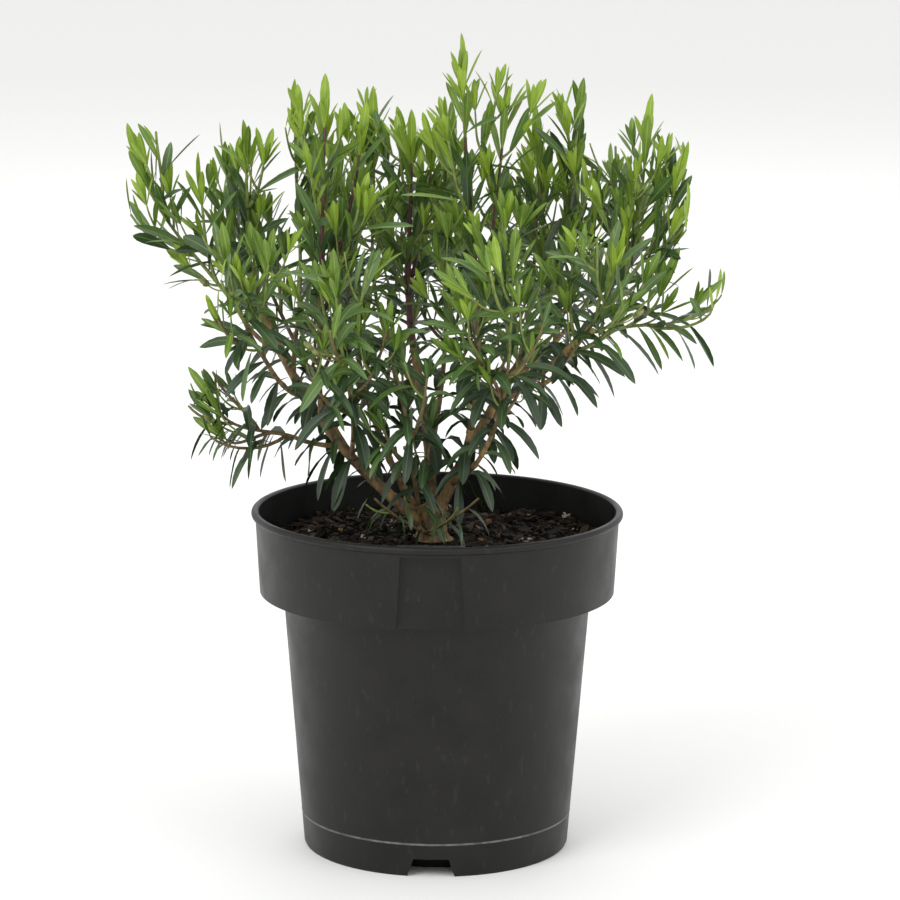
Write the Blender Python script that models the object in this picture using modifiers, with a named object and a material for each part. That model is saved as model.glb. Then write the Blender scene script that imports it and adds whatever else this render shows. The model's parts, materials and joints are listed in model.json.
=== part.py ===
"""Potted emu bush: a young many-stemmed shrub in a black nursery pot.

Metres, +Z up. The origin is the middle of the pot's flat underside, and the label recess
faces -Y. The trunk and its boughs are tapering limbs that stand 0.3 mm clear of each other.
Each mass of foliage grows from the tip of one limb by a seeded rule, and keeps to its own
space: all that lies nearer to its own leaders than to those of any other mass.
"""

import math
import random
from collections import namedtuple

import bmesh
import bpy
import numpy as np
from mathutils import Matrix, Vector, noise
from mathutils.bvhtree import BVHTree

UP = Vector((0.0, 0.0, 1.0))
GAP = 0.0003
MERGE = 0.00001
GOLDEN_TURN = math.radians(137.5)

# Pot: heights and outer radii of the moulding, then its wall and its foot.
POT_STEPS = 32
RIM_HEIGHT = 0.1684
LIP_RADIUS = 0.0912
LIP_DROP = 0.0038
COLLAR_TOP_RADIUS = 0.0892
COLLAR_FOOT_RADIUS = 0.0871
COLLAR_FOOT = 0.1276
BODY_TOP_RADIUS = 0.0755
BASE_RADIUS = 0.0653
WALL = 0.0016
CHANNEL_HEIGHT = 0.0095
CHANNEL_INNER_RADIUS = 0.0490
POT_TURN = math.radians(-1.8)
DRAIN_COUNT = 3
NOTCH_HEIGHT = 0.0090
NOTCH_TOP_WIDTH = 0.0172
NOTCH_FOOT_WIDTH = 0.0229
DRAIN_DIAMETER = 0.0070

# Label recess: a flat panel set back in the front of the collar, open at the collar's foot.
RECESS_TOP = 0.1632
RECESS_TOP_WIDTH = 0.0288
RECESS_FOOT_WIDTH = 0.0330
RECESS_PLANE = 0.0826

# Potting mix
MIX_TOP = 0.1522
MIX_EDGE_DROP = 0.0014
MIX_LUMP = 0.0016
MIX_LUMPS_PER_METRE = 75.0
MIX_LEVEL_RADIUS = 0.0130

# Trunk: a short leaning stool with a root flare, cut flat at the mix.
TRUNK_FOOT = Vector((-0.0025, 0.0, MIX_TOP + GAP))
TRUNK_FORK = Vector((-0.0020, 0.0010, 0.1690))
TRUNK_RADIUS = 0.0062
FLARE_EXTRA = 0.0036
FLARE_HEIGHT = 0.0040
TRUNK_SIDES = 12
TRUNK_RINGS = 7

# Limbs: parent, how far along it they leave, the offset of their bend from a straight
# line, the place of their tip, and their radius at both ends.
Limb = namedtuple("Limb", "name parent along bend tip base_radius tip_radius")
LIMBS = [
    Limb("bough_left", "trunk", 0.50, (-0.012, -0.004, -0.016), (-0.085, 0.008, 0.262), 0.0030, 0.0018),
    Limb("bough_right", "trunk", 0.62, (-0.008, -0.012, -0.006), (0.042, 0.006, 0.244), 0.0031, 0.0018),
    Limb("bough_centre", "trunk", 0.85, (0.003, 0.004, 0.000), (-0.012, 0.012, 0.246), 0.0025, 0.0019),
    Limb("bough_front", "trunk", 0.35, (-0.002, -0.004, -0.003), (-0.009, -0.019, 0.174), 0.0013, 0.0011),
    Limb("bough_back_left", "trunk", 0.45, (-0.002, 0.006, -0.006), (-0.026, 0.030, 0.192), 0.0020, 0.0016),
    Limb("bough_left_low", "bough_left", 0.47, (0.0, -0.001, -0.003), (-0.070, -0.008, 0.205), 0.0012, 0.0010),
    Limb("bough_left_upright", "bough_left", 0.57, (-0.001, -0.002, -0.002), (-0.057, -0.011, 0.225), 0.0015, 0.0013),
    Limb("bough_left_front", "bough_left", 0.68, (-0.002, -0.006, -0.005), (-0.081, -0.030, 0.244), 0.0013, 0.0011),
    Limb("bough_left_inner", "bough_left", 0.78, (-0.001, 0.004, -0.004), (-0.069, 0.020, 0.258), 0.0012, 0.0010),
    Limb("bough_left_outer", "bough_left", 0.86, (-0.003, -0.002, -0.004), (-0.097, -0.002, 0.266), 0.0012, 0.0010),
    Limb("bough_left_back", "bough_left", 0.33, (-0.002, 0.007, -0.008), (-0.060, 0.042, 0.219), 0.0016, 0.0012),
    Limb("bough_front_left", "bough_left", 0.40, (-0.001, -0.003, -0.002), (-0.041, -0.017, 0.205), 0.0013, 0.0011),
    Limb("bough_right_inner", "bough_right", 0.38, (0.000, -0.003, -0.002), (0.016, -0.017, 0.211), 0.0017, 0.0015),
    Limb("bough_right_back", "bough_right", 0.46, (0.002, 0.006, -0.006), (0.036, 0.038, 0.225), 0.0017, 0.0013),
    Limb("bough_right_outer", "bough_right", 0.74, (0.000, -0.006, -0.008), (0.078, -0.012, 0.267), 0.0018, 0.0012),
    Limb("bough_right_far_back", "bough_right", 0.86, (0.002, 0.006, -0.005), (0.068, 0.034, 0.258), 0.0014, 0.0011),
    Limb("bough_right_front", "bough_right_outer", 0.30, (0.002, -0.008, -0.006), (0.060, -0.042, 0.248), 0.0013, 0.0010),
    Limb("bough_right_low", "bough_right_outer", 0.66, (0.0, -0.001, -0.004), (0.083, -0.016, 0.2585), 0.0011, 0.0009),
    Limb("bough_front_right", "bough_right", 0.28, (0.002, -0.008, -0.006), (0.026, -0.046, 0.214), 0.0014, 0.0011),
    Limb("bough_back", "bough_centre", 0.34, (0.000, 0.007, -0.006), (0.001, 0.042, 0.216), 0.0016, 0.0013),
    Limb("bough_centre_back", "bough_centre", 0.74, (-0.002, 0.006, -0.005), (-0.025, 0.036, 0.246), 0.0013, 0.0010),
]
LIMB_SIDES = 8
THIN_LIMB_SIDES = 6
THIN_LIMB_RADIUS = 0.0014
LIMB_RINGS = 5

# Masses of foliage: the limb each grows from, and the places that its leaders reach.
Mass = namedtuple("Mass", "name limb tips sprays")
MASSES = [
    Mass("foliage_left_outer", "bough_left_outer", [(-0.1487, 0.000, 0.3553), (-0.1155, -0.014, 0.3426)], 3),
    Mass("foliage_left", "bough_left", [(-0.0948, 0.012, 0.3553), (-0.1070, 0.030, 0.3520)], 3),
    Mass("foliage_left_inner", "bough_left_inner", [(-0.0701, 0.016, 0.3753)], 4),
    Mass("foliage_left_upright", "bough_left_upright", [(-0.0541, -0.026, 0.3829), (-0.0353, -0.014, 0.3680)], 5),
    Mass("foliage_left_low", "bough_left_low", [(-0.1170, -0.016, 0.2400), (-0.1180, -0.018, 0.2230)], 3),
    Mass("foliage_left_front", "bough_left_front", [(-0.1000, -0.074, 0.3180)], 5),
    Mass("foliage_left_back", "bough_left_back", [(-0.1040, 0.076, 0.3320)], 5),
    Mass("foliage_front_left", "bough_front_left", [(-0.0480, -0.086, 0.3080)], 6),
    Mass("foliage_front", "bough_front", [(-0.0179, -0.052, 0.2667)], 4),
    Mass("foliage_front_right", "bough_front_right", [(0.0360, -0.094, 0.3200), (0.0060, -0.090, 0.3020)], 5),
    Mass("foliage_top", "bough_right_inner", [(0.0112, -0.014, 0.4017), (0.0325, -0.014, 0.3856)], 6),
    Mass("foliage_right", "bough_right", [(0.0694, 0.006, 0.3779), (0.0470, 0.012, 0.3640)], 4),
    Mass("foliage_right_outer", "bough_right_outer", [(0.1186, -0.012, 0.3490), (0.1020, 0.000, 0.3704)], 4),
    Mass("foliage_right_low", "bough_right_low", [(0.1348, -0.020, 0.2910), (0.1130, -0.028, 0.3000)], 3),
    Mass("foliage_right_front", "bough_right_front", [(0.0860, -0.078, 0.3180)], 5),
    Mass("foliage_right_far_back", "bough_right_far_back", [(0.1000, 0.068, 0.3400)], 5),
    Mass("foliage_right_back", "bough_right_back", [(0.0520, 0.098, 0.3450)], 6),
    Mass("foliage_back", "bough_back", [(0.0030, 0.108, 0.3400), (0.0060, 0.060, 0.3600)], 5),
    Mass("foliage_back_left", "bough_back_left", [(-0.0520, 0.096, 0.3430)], 6),
    Mass("foliage_centre_back", "bough_centre_back", [(-0.0330, 0.044, 0.3690)], 4),
    Mass("foliage_centre", "bough_centre", [(-0.0135, 0.012, 0.3610), (-0.0020, 0.024, 0.3560)], 4),
    Mass("foliage_foot", "trunk", [(-0.0300, -0.034, 0.1800), (0.0200, -0.032, 0.1800)], 0),
]
SHOOT_SIDES = 3
LEADER_RINGS = 6
SPRAY_RINGS = 3
SPRAY_RADIUS = 0.0010
SHOOT_TIP_RADIUS = 0.0007
SPACE_MARGIN = 0.0010
REACH_MARGIN = 0.0030
INNER_REACH = 0.0750
SPRAY_LENGTH = 0.048
SPRAY_SPREAD = 0.62
SPRAY_TRIES = (1.0, 0.8, 0.6, 0.45)

# Leaves: three-edged blades, with a keel under the midrib.
LEAF_LENGTH = 0.036
LEAF_WIDTH = 0.0080
LEAF_KEEL = 0.0011
LEAF_BELLY = 0.48
LEAF_SPACING = 0.0125
LEAF_SINK = 0.0005
LEAF_TRIES = 8
TIP_LEAF = 0.024


def clear_scene():
    for old in list(bpy.data.objects):
        bpy.data.objects.remove(old, do_unlink=True)


def collection(name):
    group = bpy.data.collections.new(name)
    bpy.context.scene.collection.children.link(group)
    return group


def finish_of(name, colour, roughness):
    """A plain Principled material of one colour."""
    material = bpy.data.materials.new(name)
    material.use_nodes = True
    surface = material.node_tree.nodes["Principled BSDF"]
    surface.inputs["Base Color"].default_value = (*colour, 1.0)
    surface.inputs["Roughness"].default_value = roughness
    surface.inputs["Metallic"].default_value = 0.0
    return material


def object_from(bm, name, group):
    mesh = bpy.data.meshes.new(name)
    bm.to_mesh(mesh)
    bm.free()
    made = bpy.data.objects.new(name, mesh)
    group.objects.link(made)
    return made


def apply_modifiers(thing):
    """Replace the object's mesh by its evaluated one."""
    bpy.context.view_layer.update()
    evaluated = thing.evaluated_get(bpy.context.evaluated_depsgraph_get())
    mesh = bpy.data.meshes.new_from_object(evaluated)
    thing.modifiers.clear()
    thing.data = mesh


def turned(name, profile, steps, group):
    """A closed solid turned round Z from a profile that runs down its outer side."""
    bm = bmesh.new()
    points = [bm.verts.new((radius, 0.0, height)) for radius, height in profile]
    for upper, lower in zip(points, points[1:]):
        bm.edges.new((upper, lower))
    made = object_from(bm, name, group)
    screw = made.modifiers.new("turn", "SCREW")
    screw.steps = steps
    screw.render_steps = steps
    screw.use_merge_vertices = True
    screw.merge_threshold = MERGE
    apply_modifiers(made)
    return made


def boolean(thing, operation, tool):
    cut = thing.modifiers.new(tool.name, "BOOLEAN")
    cut.operation = operation
    cut.object = tool


def as_cutter(thing):
    thing.hide_render = True
    thing.display_type = "WIRE"
    return thing


def tapered_block(name, foot_width, top_width, foot, top, near, far, turn, group):
    """A block with slanting sides, from `near` to `far` off the axis, turned about Z from -Y."""
    bm = bmesh.new()
    bmesh.ops.create_cube(bm, size=1.0)
    for corner in bm.verts:
        high = corner.co.z > 0.0
        width = top_width if high else foot_width
        reach = far if corner.co.y < 0.0 else near
        corner.co = Vector((corner.co.x * width, -reach, top if high else foot))
    bmesh.ops.rotate(bm, verts=bm.verts, cent=(0, 0, 0), matrix=Matrix.Rotation(turn, 3, "Z"))
    bmesh.ops.recalc_face_normals(bm, faces=bm.faces)
    return object_from(bm, name, group)


def body_radius(height):
    """Outer radius of the pot's tapered body."""
    return BASE_RADIUS + (BODY_TOP_RADIUS - BASE_RADIUS) * height / COLLAR_FOOT


def pot_inner_profile():
    """The pot's inside, from the axis out and up to the rim."""
    floor = CHANNEL_HEIGHT + WALL
    ledge = COLLAR_FOOT + WALL
    return [
        (0.0, WALL),
        (CHANNEL_INNER_RADIUS - 0.75 * WALL, WALL),
        (CHANNEL_INNER_RADIUS, floor),
        (body_radius(floor) - WALL, floor),
        (BODY_TOP_RADIUS - WALL, ledge - 0.5 * WALL),
        (BODY_TOP_RADIUS - 0.5 * WALL, ledge),
        (COLLAR_FOOT_RADIUS - 1.8 * WALL, ledge + 0.2 * WALL),
        (COLLAR_FOOT_RADIUS - WALL, ledge + WALL),
        (COLLAR_TOP_RADIUS - WALL, RIM_HEIGHT - LIP_DROP),
    ]


def lip_profile():
    """The rolled lip, from its inner edge over the top and round to the collar."""
    middle = Vector((COLLAR_TOP_RADIUS + 0.0001, RIM_HEIGHT - 0.5 * LIP_DROP))
    reach = LIP_RADIUS - middle.x
    rise = 0.5 * LIP_DROP
    angles = [math.radians(degrees) for degrees in (150, 100, 55, 15, -25, -70)]
    return [(middle.x + reach * math.cos(angle), middle.y + rise * math.sin(angle)) for angle in angles]


def pot_outer_profile():
    """The pot's outside, from under the lip down, and in under the base to the axis."""
    corner = 0.0020
    return [
        (COLLAR_TOP_RADIUS, RIM_HEIGHT - LIP_DROP - 0.0004),
        (COLLAR_FOOT_RADIUS, COLLAR_FOOT + corner),
        (COLLAR_FOOT_RADIUS - 0.3 * corner, COLLAR_FOOT + 0.3 * corner),
        (COLLAR_FOOT_RADIUS - corner, COLLAR_FOOT),
        (BODY_TOP_RADIUS + 0.0008, COLLAR_FOOT - 0.0002),
        (BODY_TOP_RADIUS, COLLAR_FOOT - 0.0012),
        (body_radius(0.0014), 0.0014),
        (BASE_RADIUS - 0.0006, 0.0),
        (BASE_RADIUS - WALL, 0.0),
        (body_radius(CHANNEL_HEIGHT) - WALL, CHANNEL_HEIGHT),
        (CHANNEL_INNER_RADIUS + 0.5 * WALL, CHANNEL_HEIGHT),
        (CHANNEL_INNER_RADIUS, 0.0),
        (0.0, 0.0),
    ]


def recess_backing(name, extra, group):
    """The wall behind the label recess, up to the rim, grown by `extra` on every side."""
    side = 2.0 * (WALL + extra)
    return tapered_block(
        name, RECESS_FOOT_WIDTH + side, RECESS_TOP_WIDTH + side,
        COLLAR_FOOT + 0.5 * WALL - extra, RIM_HEIGHT - 0.5 * WALL + extra,
        RECESS_PLANE - WALL - extra, LIP_RADIUS, POT_TURN, group)


def collar_core(group):
    """All that lies within the middle of the collar's wall."""
    top = RIM_HEIGHT - 0.2 * WALL
    foot = COLLAR_FOOT + 0.4 * WALL
    profile = [
        (0.0, top),
        (COLLAR_TOP_RADIUS - 0.5 * WALL, top),
        (COLLAR_FOOT_RADIUS - 0.8 * WALL, foot),
        (0.0, foot),
    ]
    return as_cutter(turned("collar_core", profile, POT_STEPS, group))


def cut_drain(pot, number, cutters):
    """A notch through the foot's skirt, and the drain hole in the channel behind it."""
    turn = POT_TURN + number * math.tau / DRAIN_COUNT
    below = 0.0020
    spread = (NOTCH_FOOT_WIDTH - NOTCH_TOP_WIDTH) * below / NOTCH_HEIGHT
    notch = tapered_block(
        f"drain_notch_{number + 1}", NOTCH_FOOT_WIDTH + spread, NOTCH_TOP_WIDTH,
        -below, NOTCH_HEIGHT, BASE_RADIUS - 3.0 * WALL, LIP_RADIUS, turn, cutters)
    boolean(pot, "DIFFERENCE", as_cutter(notch))
    middle = (0.0, -0.5 * (CHANNEL_INNER_RADIUS + BASE_RADIUS), CHANNEL_HEIGHT + 0.5 * WALL)
    bm = bmesh.new()
    bmesh.ops.create_cone(
        bm, cap_ends=True, segments=8, radius1=0.5 * DRAIN_DIAMETER, radius2=0.5 * DRAIN_DIAMETER,
        depth=3.0 * WALL, matrix=Matrix.Rotation(turn, 4, "Z") @ Matrix.Translation(middle))
    hole = object_from(bm, f"drain_hole_{number + 1}", cutters)
    boolean(pot, "DIFFERENCE", as_cutter(hole))


def make_pot(group, cutters):
    pot = turned("pot", pot_inner_profile() + lip_profile() + pot_outer_profile(), POT_STEPS, group)
    backing = as_cutter(recess_backing("recess_backing", 0.0, cutters))
    boolean(backing, "INTERSECT", collar_core(cutters))
    apply_modifiers(backing)
    boolean(pot, "UNION", backing)
    recess = tapered_block(
        "label_recess", RECESS_FOOT_WIDTH, RECESS_TOP_WIDTH, COLLAR_FOOT - 2.0 * WALL, RECESS_TOP,
        RECESS_PLANE, LIP_RADIUS + WALL, POT_TURN, cutters)
    boolean(pot, "DIFFERENCE", as_cutter(recess))
    for number in range(DRAIN_COUNT):
        cut_drain(pot, number, cutters)
    apply_modifiers(pot)
    pot.data.materials.append(finish_of("black_moulded_plastic", (0.030, 0.029, 0.028), 0.48))
    return pot


def make_mix(group, cutters):
    """Bark potting mix that fills the pot, lumpy on top and level at the trunk's foot."""
    wall = [(radius - GAP, height + GAP) for radius, height in pot_inner_profile()]
    low = wall[-2]
    high = wall[-1]
    edge_height = MIX_TOP - MIX_EDGE_DROP
    share = (edge_height - low[1]) / (high[1] - low[1])
    edge = low[0] + share * (high[0] - low[0])
    surface = [(0.0, MIX_TOP), (0.014, MIX_TOP)]
    surface += [(edge * share, MIX_TOP - MIX_EDGE_DROP * share) for share in (0.45, 0.75)]
    floor = [(max(radius, 0.0), height) for radius, height in reversed(wall[:-1])]
    mix = turned("potting_mix", surface + [(edge, edge_height)] + floor, POT_STEPS, group)
    for point in mix.data.vertices:
        from_axis = math.hypot(point.co.x, point.co.y)
        if point.co.z > edge_height + 0.0001 and from_axis > MIX_LEVEL_RADIUS + 0.002:
            lump = noise.noise(point.co * MIX_LUMPS_PER_METRE)
            point.co.z += MIX_LUMP * (lump - 0.35)
    space = as_cutter(recess_backing("recess_room", GAP, cutters))
    boolean(mix, "DIFFERENCE", space)
    apply_modifiers(mix)
    mix.data.materials.append(finish_of("bark_potting_mix", (0.024, 0.017, 0.012), 0.95))
    return mix


def swept(name, points, radii, sides, group):
    """A tapering limb along the points: a bevelled curve, turned into a closed mesh."""
    curve = bpy.data.curves.new(name, "CURVE")
    curve.dimensions = "3D"
    curve.use_fill_caps = True
    profile = None
    if sides == 3:
        outline = bpy.data.curves.new(name + "_outline", "CURVE")
        outline.dimensions = "2D"
        corners = outline.splines.new("POLY")
        corners.points.add(sides - 1)
        corners.use_cyclic_u = True
        for index, corner in enumerate(corners.points):
            angle = index * math.tau / sides
            corner.co = (math.cos(angle), math.sin(angle), 0.0, 1.0)
        profile = bpy.data.objects.new(name + "_outline", outline)
        group.objects.link(profile)
        curve.bevel_mode = "OBJECT"
        curve.bevel_object = profile
    else:
        curve.bevel_depth = 1.0
        curve.bevel_resolution = (sides - 4) // 2
    spline = curve.splines.new("POLY")
    spline.points.add(len(points) - 1)
    for knot, place, radius in zip(spline.points, points, radii):
        knot.co = (*place, 1.0)
        knot.radius = radius
    path = bpy.data.objects.new(name + "_path", curve)
    group.objects.link(path)
    bpy.context.view_layer.update()
    mesh = bpy.data.meshes.new_from_object(path.evaluated_get(bpy.context.evaluated_depsgraph_get()))
    bm = bmesh.new()
    bm.from_mesh(mesh)
    bmesh.ops.remove_doubles(bm, verts=bm.verts, dist=MERGE)
    bmesh.ops.recalc_face_normals(bm, faces=bm.faces)
    bm.to_mesh(mesh)
    bm.free()
    made = bpy.data.objects.new(name, mesh)
    made.matrix_world = path.matrix_world
    group.objects.link(made)
    bpy.data.objects.remove(path, do_unlink=True)
    if profile:
        bpy.data.objects.remove(profile, do_unlink=True)
    return made


def bend_point(start, control, end, share):
    """A point of the quadratic curve from start to end, drawn towards its control."""
    rest = 1.0 - share
    return start * (rest * rest) + control * (2.0 * rest * share) + end * (share * share)


def limb_route(start, bend, tip, rings):
    control = 0.5 * (start + tip) + bend
    return [bend_point(start, control, tip, index / (rings - 1)) for index in range(rings)]


def point_along(route, share):
    """The point at a share of the way along a route, and the heading there."""
    place = share * (len(route) - 1)
    index = min(int(place), len(route) - 2)
    heading = (route[index + 1] - route[index]).normalized()
    return route[index].lerp(route[index + 1], place - index), heading


def swollen(name, route, radii, sides, cutters):
    """The space that a limb and its clearance take, for cutting what meets it."""
    start = route[0] - (route[1] - route[0]).normalized() * GAP
    end = route[-1] + (route[-1] - route[-2]).normalized() * GAP
    points = [start] + route[1:-1] + [end]
    return as_cutter(swept(name, points, [radius + GAP for radius in radii], sides, cutters))


def tree_of(thing):
    corners = [corner.co for corner in thing.data.vertices]
    return BVHTree.FromPolygons(corners, [face.vertices for face in thing.data.polygons])


def trunk_radius(height):
    """The trunk's radius, flared where the roots leave it."""
    return TRUNK_RADIUS + FLARE_EXTRA * math.exp((TRUNK_FOOT.z - height) / FLARE_HEIGHT)


def make_trunk(group, cutters):
    """The trunk's route, its solid and its cutter."""
    shares = [(index / (TRUNK_RINGS - 1)) ** 1.5 for index in range(TRUNK_RINGS)]
    route = [TRUNK_FOOT.lerp(TRUNK_FORK, share) for share in shares]
    radii = [trunk_radius(place.z) for place in route]
    route[1].xy = TRUNK_FOOT.xy
    trunk = swept("trunk", route, radii, TRUNK_SIDES, group)
    space = swollen("trunk_room", route, radii, TRUNK_SIDES, cutters)
    return route, trunk, space


def make_limbs(group, cutters):
    """All limbs, each cut to a saddle 0.3 mm clear of its parent and of what it crosses."""
    bark = finish_of("bark", (0.205, 0.150, 0.085), 0.85)
    route, trunk, space = make_trunk(group, cutters)
    trunk.data.materials.append(bark)
    routes = {"trunk": route}
    spaces = {"trunk": space}
    for limb in LIMBS:
        start, _ = point_along(routes[limb.parent], limb.along)
        route = limb_route(start, Vector(limb.bend), Vector(limb.tip), LIMB_RINGS)
        step = (limb.tip_radius - limb.base_radius) / (LIMB_RINGS - 1)
        radii = [limb.base_radius + step * index for index in range(LIMB_RINGS)]
        sides = THIN_LIMB_SIDES if limb.base_radius < THIN_LIMB_RADIUS else LIMB_SIDES
        made = swept(limb.name, route, radii, sides, group)
        own_tree = tree_of(made)
        for name, space in spaces.items():
            if name == limb.parent or own_tree.overlap(tree_of(space)):
                boolean(made, "DIFFERENCE", space)
        apply_modifiers(made)
        keep_main_body(made)
        made.data.materials.append(bark)
        routes[limb.name] = route
        spaces[limb.name] = swollen(limb.name + "_room", route, radii, sides, cutters)
    return routes, spaces


def keep_main_body(thing):
    """Drop loose scraps and sealed hollows: keep the one body with the most faces."""
    bm = bmesh.new()
    bm.from_mesh(thing.data)
    bmesh.ops.remove_doubles(bm, verts=bm.verts, dist=MERGE)
    unseen = set(bm.faces)
    bodies = []
    while unseen:
        front = [unseen.pop()]
        body = set(front)
        while front:
            for edge in front.pop().edges:
                for face in edge.link_faces:
                    if face in unseen and len(edge.link_faces) == 2:
                        unseen.discard(face)
                        body.add(face)
                        front.append(face)
        bodies.append(body)
    main = max(bodies, key=len)
    scraps = [face for body in bodies if body is not main for face in body]
    bmesh.ops.delete(bm, geom=scraps, context="FACES")
    bm.to_mesh(thing.data)
    bm.free()


def shoot_route(start, heading, tip, arrive, count):
    """A smooth shoot that leaves along one heading and ends along another."""
    third = (tip - start).length / 3.0
    leave = start + heading * third
    reach = tip - arrive * third
    route = []
    for index in range(count):
        share = index / (count - 1)
        low = bend_point(start, leave, reach, share)
        high = bend_point(leave, reach, tip, share)
        route.append(low.lerp(high, share))
    return route


def rising(direction, lift):
    """The direction turned towards the light."""
    return (direction.normalized() + UP * lift).normalized()


def leaders_of(mass, routes):
    """The mass's stem up to its first tip, and the leaders that branch to the others."""
    bough = routes[mass.limb]
    if mass.limb == "trunk":
        return foot_leaders(mass, bough)
    heading = (bough[-1] - bough[-2]).normalized()
    start = bough[-1] + heading * GAP
    tip = Vector(mass.tips[0])
    arrive = rising(tip - start, 0.9)
    stem = shoot_route(start, heading, tip - arrive * TIP_LEAF, arrive, LEADER_RINGS)
    leaders = [stem]
    for number, place in enumerate(mass.tips[1:]):
        fork, along = point_along(stem, 0.22 + 0.16 * number)
        tip = Vector(place)
        arrive = rising(tip - fork, 0.7)
        leave = (along + (tip - fork).normalized()).normalized()
        leaders.append(shoot_route(fork, leave, tip - arrive * TIP_LEAF, arrive, SPRAY_RINGS))
    return leaders


def foot_leaders(mass, trunk):
    """Two short shoots from one stub on the trunk's front."""
    base, _ = point_along(trunk, 0.42)
    front = Vector((0.0, -1.0, 0.0))
    stub = base + front * (trunk_radius(base.z - SPRAY_RADIUS) + GAP)
    tip = Vector(mass.tips[0])
    stem = shoot_route(stub, front, tip, rising(tip - stub, 0.3), SPRAY_RINGS)
    fork, _ = point_along(stem, 0.3)
    side = Vector(mass.tips[1])
    return [stem, shoot_route(fork, front, side, rising(side - fork, 0.3), SPRAY_RINGS)]


class Spaces:
    """Tells whether points keep to one mass's space, clear of the pot and the limbs.

    A mass's space is what lies nearer to its own leaders than to any others, no higher than
    its highest tip and no further out than its furthest one, or than the inner reach.
    """

    def __init__(self, leaders, limb_rooms):
        samples = []
        owners = []
        for index, group in enumerate(leaders):
            for route in group:
                for step in range(17):
                    samples.append(point_along(route, step / 16)[0])
                    owners.append(index)
        self.samples = np.array(samples)
        self.owners = np.array(owners)
        self.rooms = limb_rooms
        self.tops = [max(tip[2] for tip in mass.tips) for mass in MASSES]
        self.reaches = [
            max(INNER_REACH, REACH_MARGIN + max(math.hypot(tip[0], tip[1]) for tip in mass.tips))
            for mass in MASSES
        ]

    def holds(self, points, owner):
        places = np.array(points)
        heights = places[:, 2]
        from_axis = np.hypot(places[:, 0], places[:, 1])
        in_mix = heights < MIX_TOP + 0.0015
        in_wall = (heights < RIM_HEIGHT + 0.001) & (from_axis > COLLAR_TOP_RADIUS - 0.0030)
        too_high = heights > self.tops[owner] + REACH_MARGIN
        too_far = from_axis > self.reaches[owner]
        if np.any(in_mix | in_wall | too_high | too_far):
            return False
        apart = np.linalg.norm(places[:, None, :] - self.samples[None, :, :], axis=2)
        own = apart[:, self.owners == owner].min(axis=1)
        other = apart[:, self.owners != owner].min(axis=1)
        return not np.any(own + SPACE_MARGIN > other)

    def misses_limbs(self, tree):
        return not any(tree.overlap(room) for room in self.rooms)


def spray_routes(mass, owner, stem, spaces):
    """Side shoots at golden-angle steps up the stem, each bending up to the light."""
    routes = []
    for number in range(mass.sprays):
        chance = random.Random(f"{mass.name} spray {number}")
        share = 0.10 + 0.66 * number / max(mass.sprays - 1, 1)
        fork, along = point_along(stem, share)
        across = along.orthogonal().normalized()
        across.rotate(Matrix.Rotation(number * GOLDEN_TURN + chance.uniform(-0.4, 0.4), 3, along))
        length = SPRAY_LENGTH * (1.12 - 0.4 * share) * chance.uniform(0.85, 1.15)
        heading = (along + across * (2.0 * SPRAY_SPREAD)).normalized()
        for shorter in SPRAY_TRIES:
            reach = (along + across * SPRAY_SPREAD + UP * 0.35).normalized() * length * shorter
            tip = fork + reach
            route = shoot_route(fork, heading, tip, rising(reach, 0.8), SPRAY_RINGS)
            if spaces.holds(route[1:], owner):
                routes.append(route)
                break
    return routes


def leaf_form():
    """A small spindle of three long edges, from its root at z = 0 to its tip at z = 1."""
    bm = bmesh.new()
    bmesh.ops.create_uvsphere(bm, u_segments=3, v_segments=2, radius=1.0)
    corners = [corner.co.copy() for corner in bm.verts]
    faces = [[corner.index for corner in face.verts] for face in bm.faces]
    bm.free()
    return corners, faces


def leaf_corners(form, root, heading, across, length, droop):
    """The form's corners, laid out as a lance-shaped leaf whose outer half bends down."""
    tip_heading = (heading - UP * droop).normalized()
    face = across.cross(heading + tip_heading).normalized()
    belly = root + heading * (LEAF_BELLY * length)
    tip = belly + tip_heading * ((1.0 - LEAF_BELLY) * length)
    width = LEAF_WIDTH * min(1.0, 0.35 + 0.65 * length / LEAF_LENGTH)
    placed = []
    for corner in form:
        if abs(corner.z) > 0.5:
            placed.append(tip if corner.z > 0.0 else root)
        else:
            sideways = across * (corner.y * width / math.sqrt(3.0))
            placed.append(belly + sideways - face * ((corner.x + 0.5) / 1.5 * LEAF_KEEL))
    return placed


def leaf_outline(corners, faces):
    """Points all round a leaf, for telling whether it keeps to its space."""
    points = list(corners)
    for face in faces:
        first, second, third = (corners[index] for index in face)
        points += [first.lerp(second, 0.5), second.lerp(third, 0.3), third.lerp(first, 0.7)]
    return points


def leaf_size(share, at_tip, chance):
    if at_tip:
        return TIP_LEAF
    return LEAF_LENGTH * chance.uniform(0.86, 1.08) * (1.0 - 0.22 * share)


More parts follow.
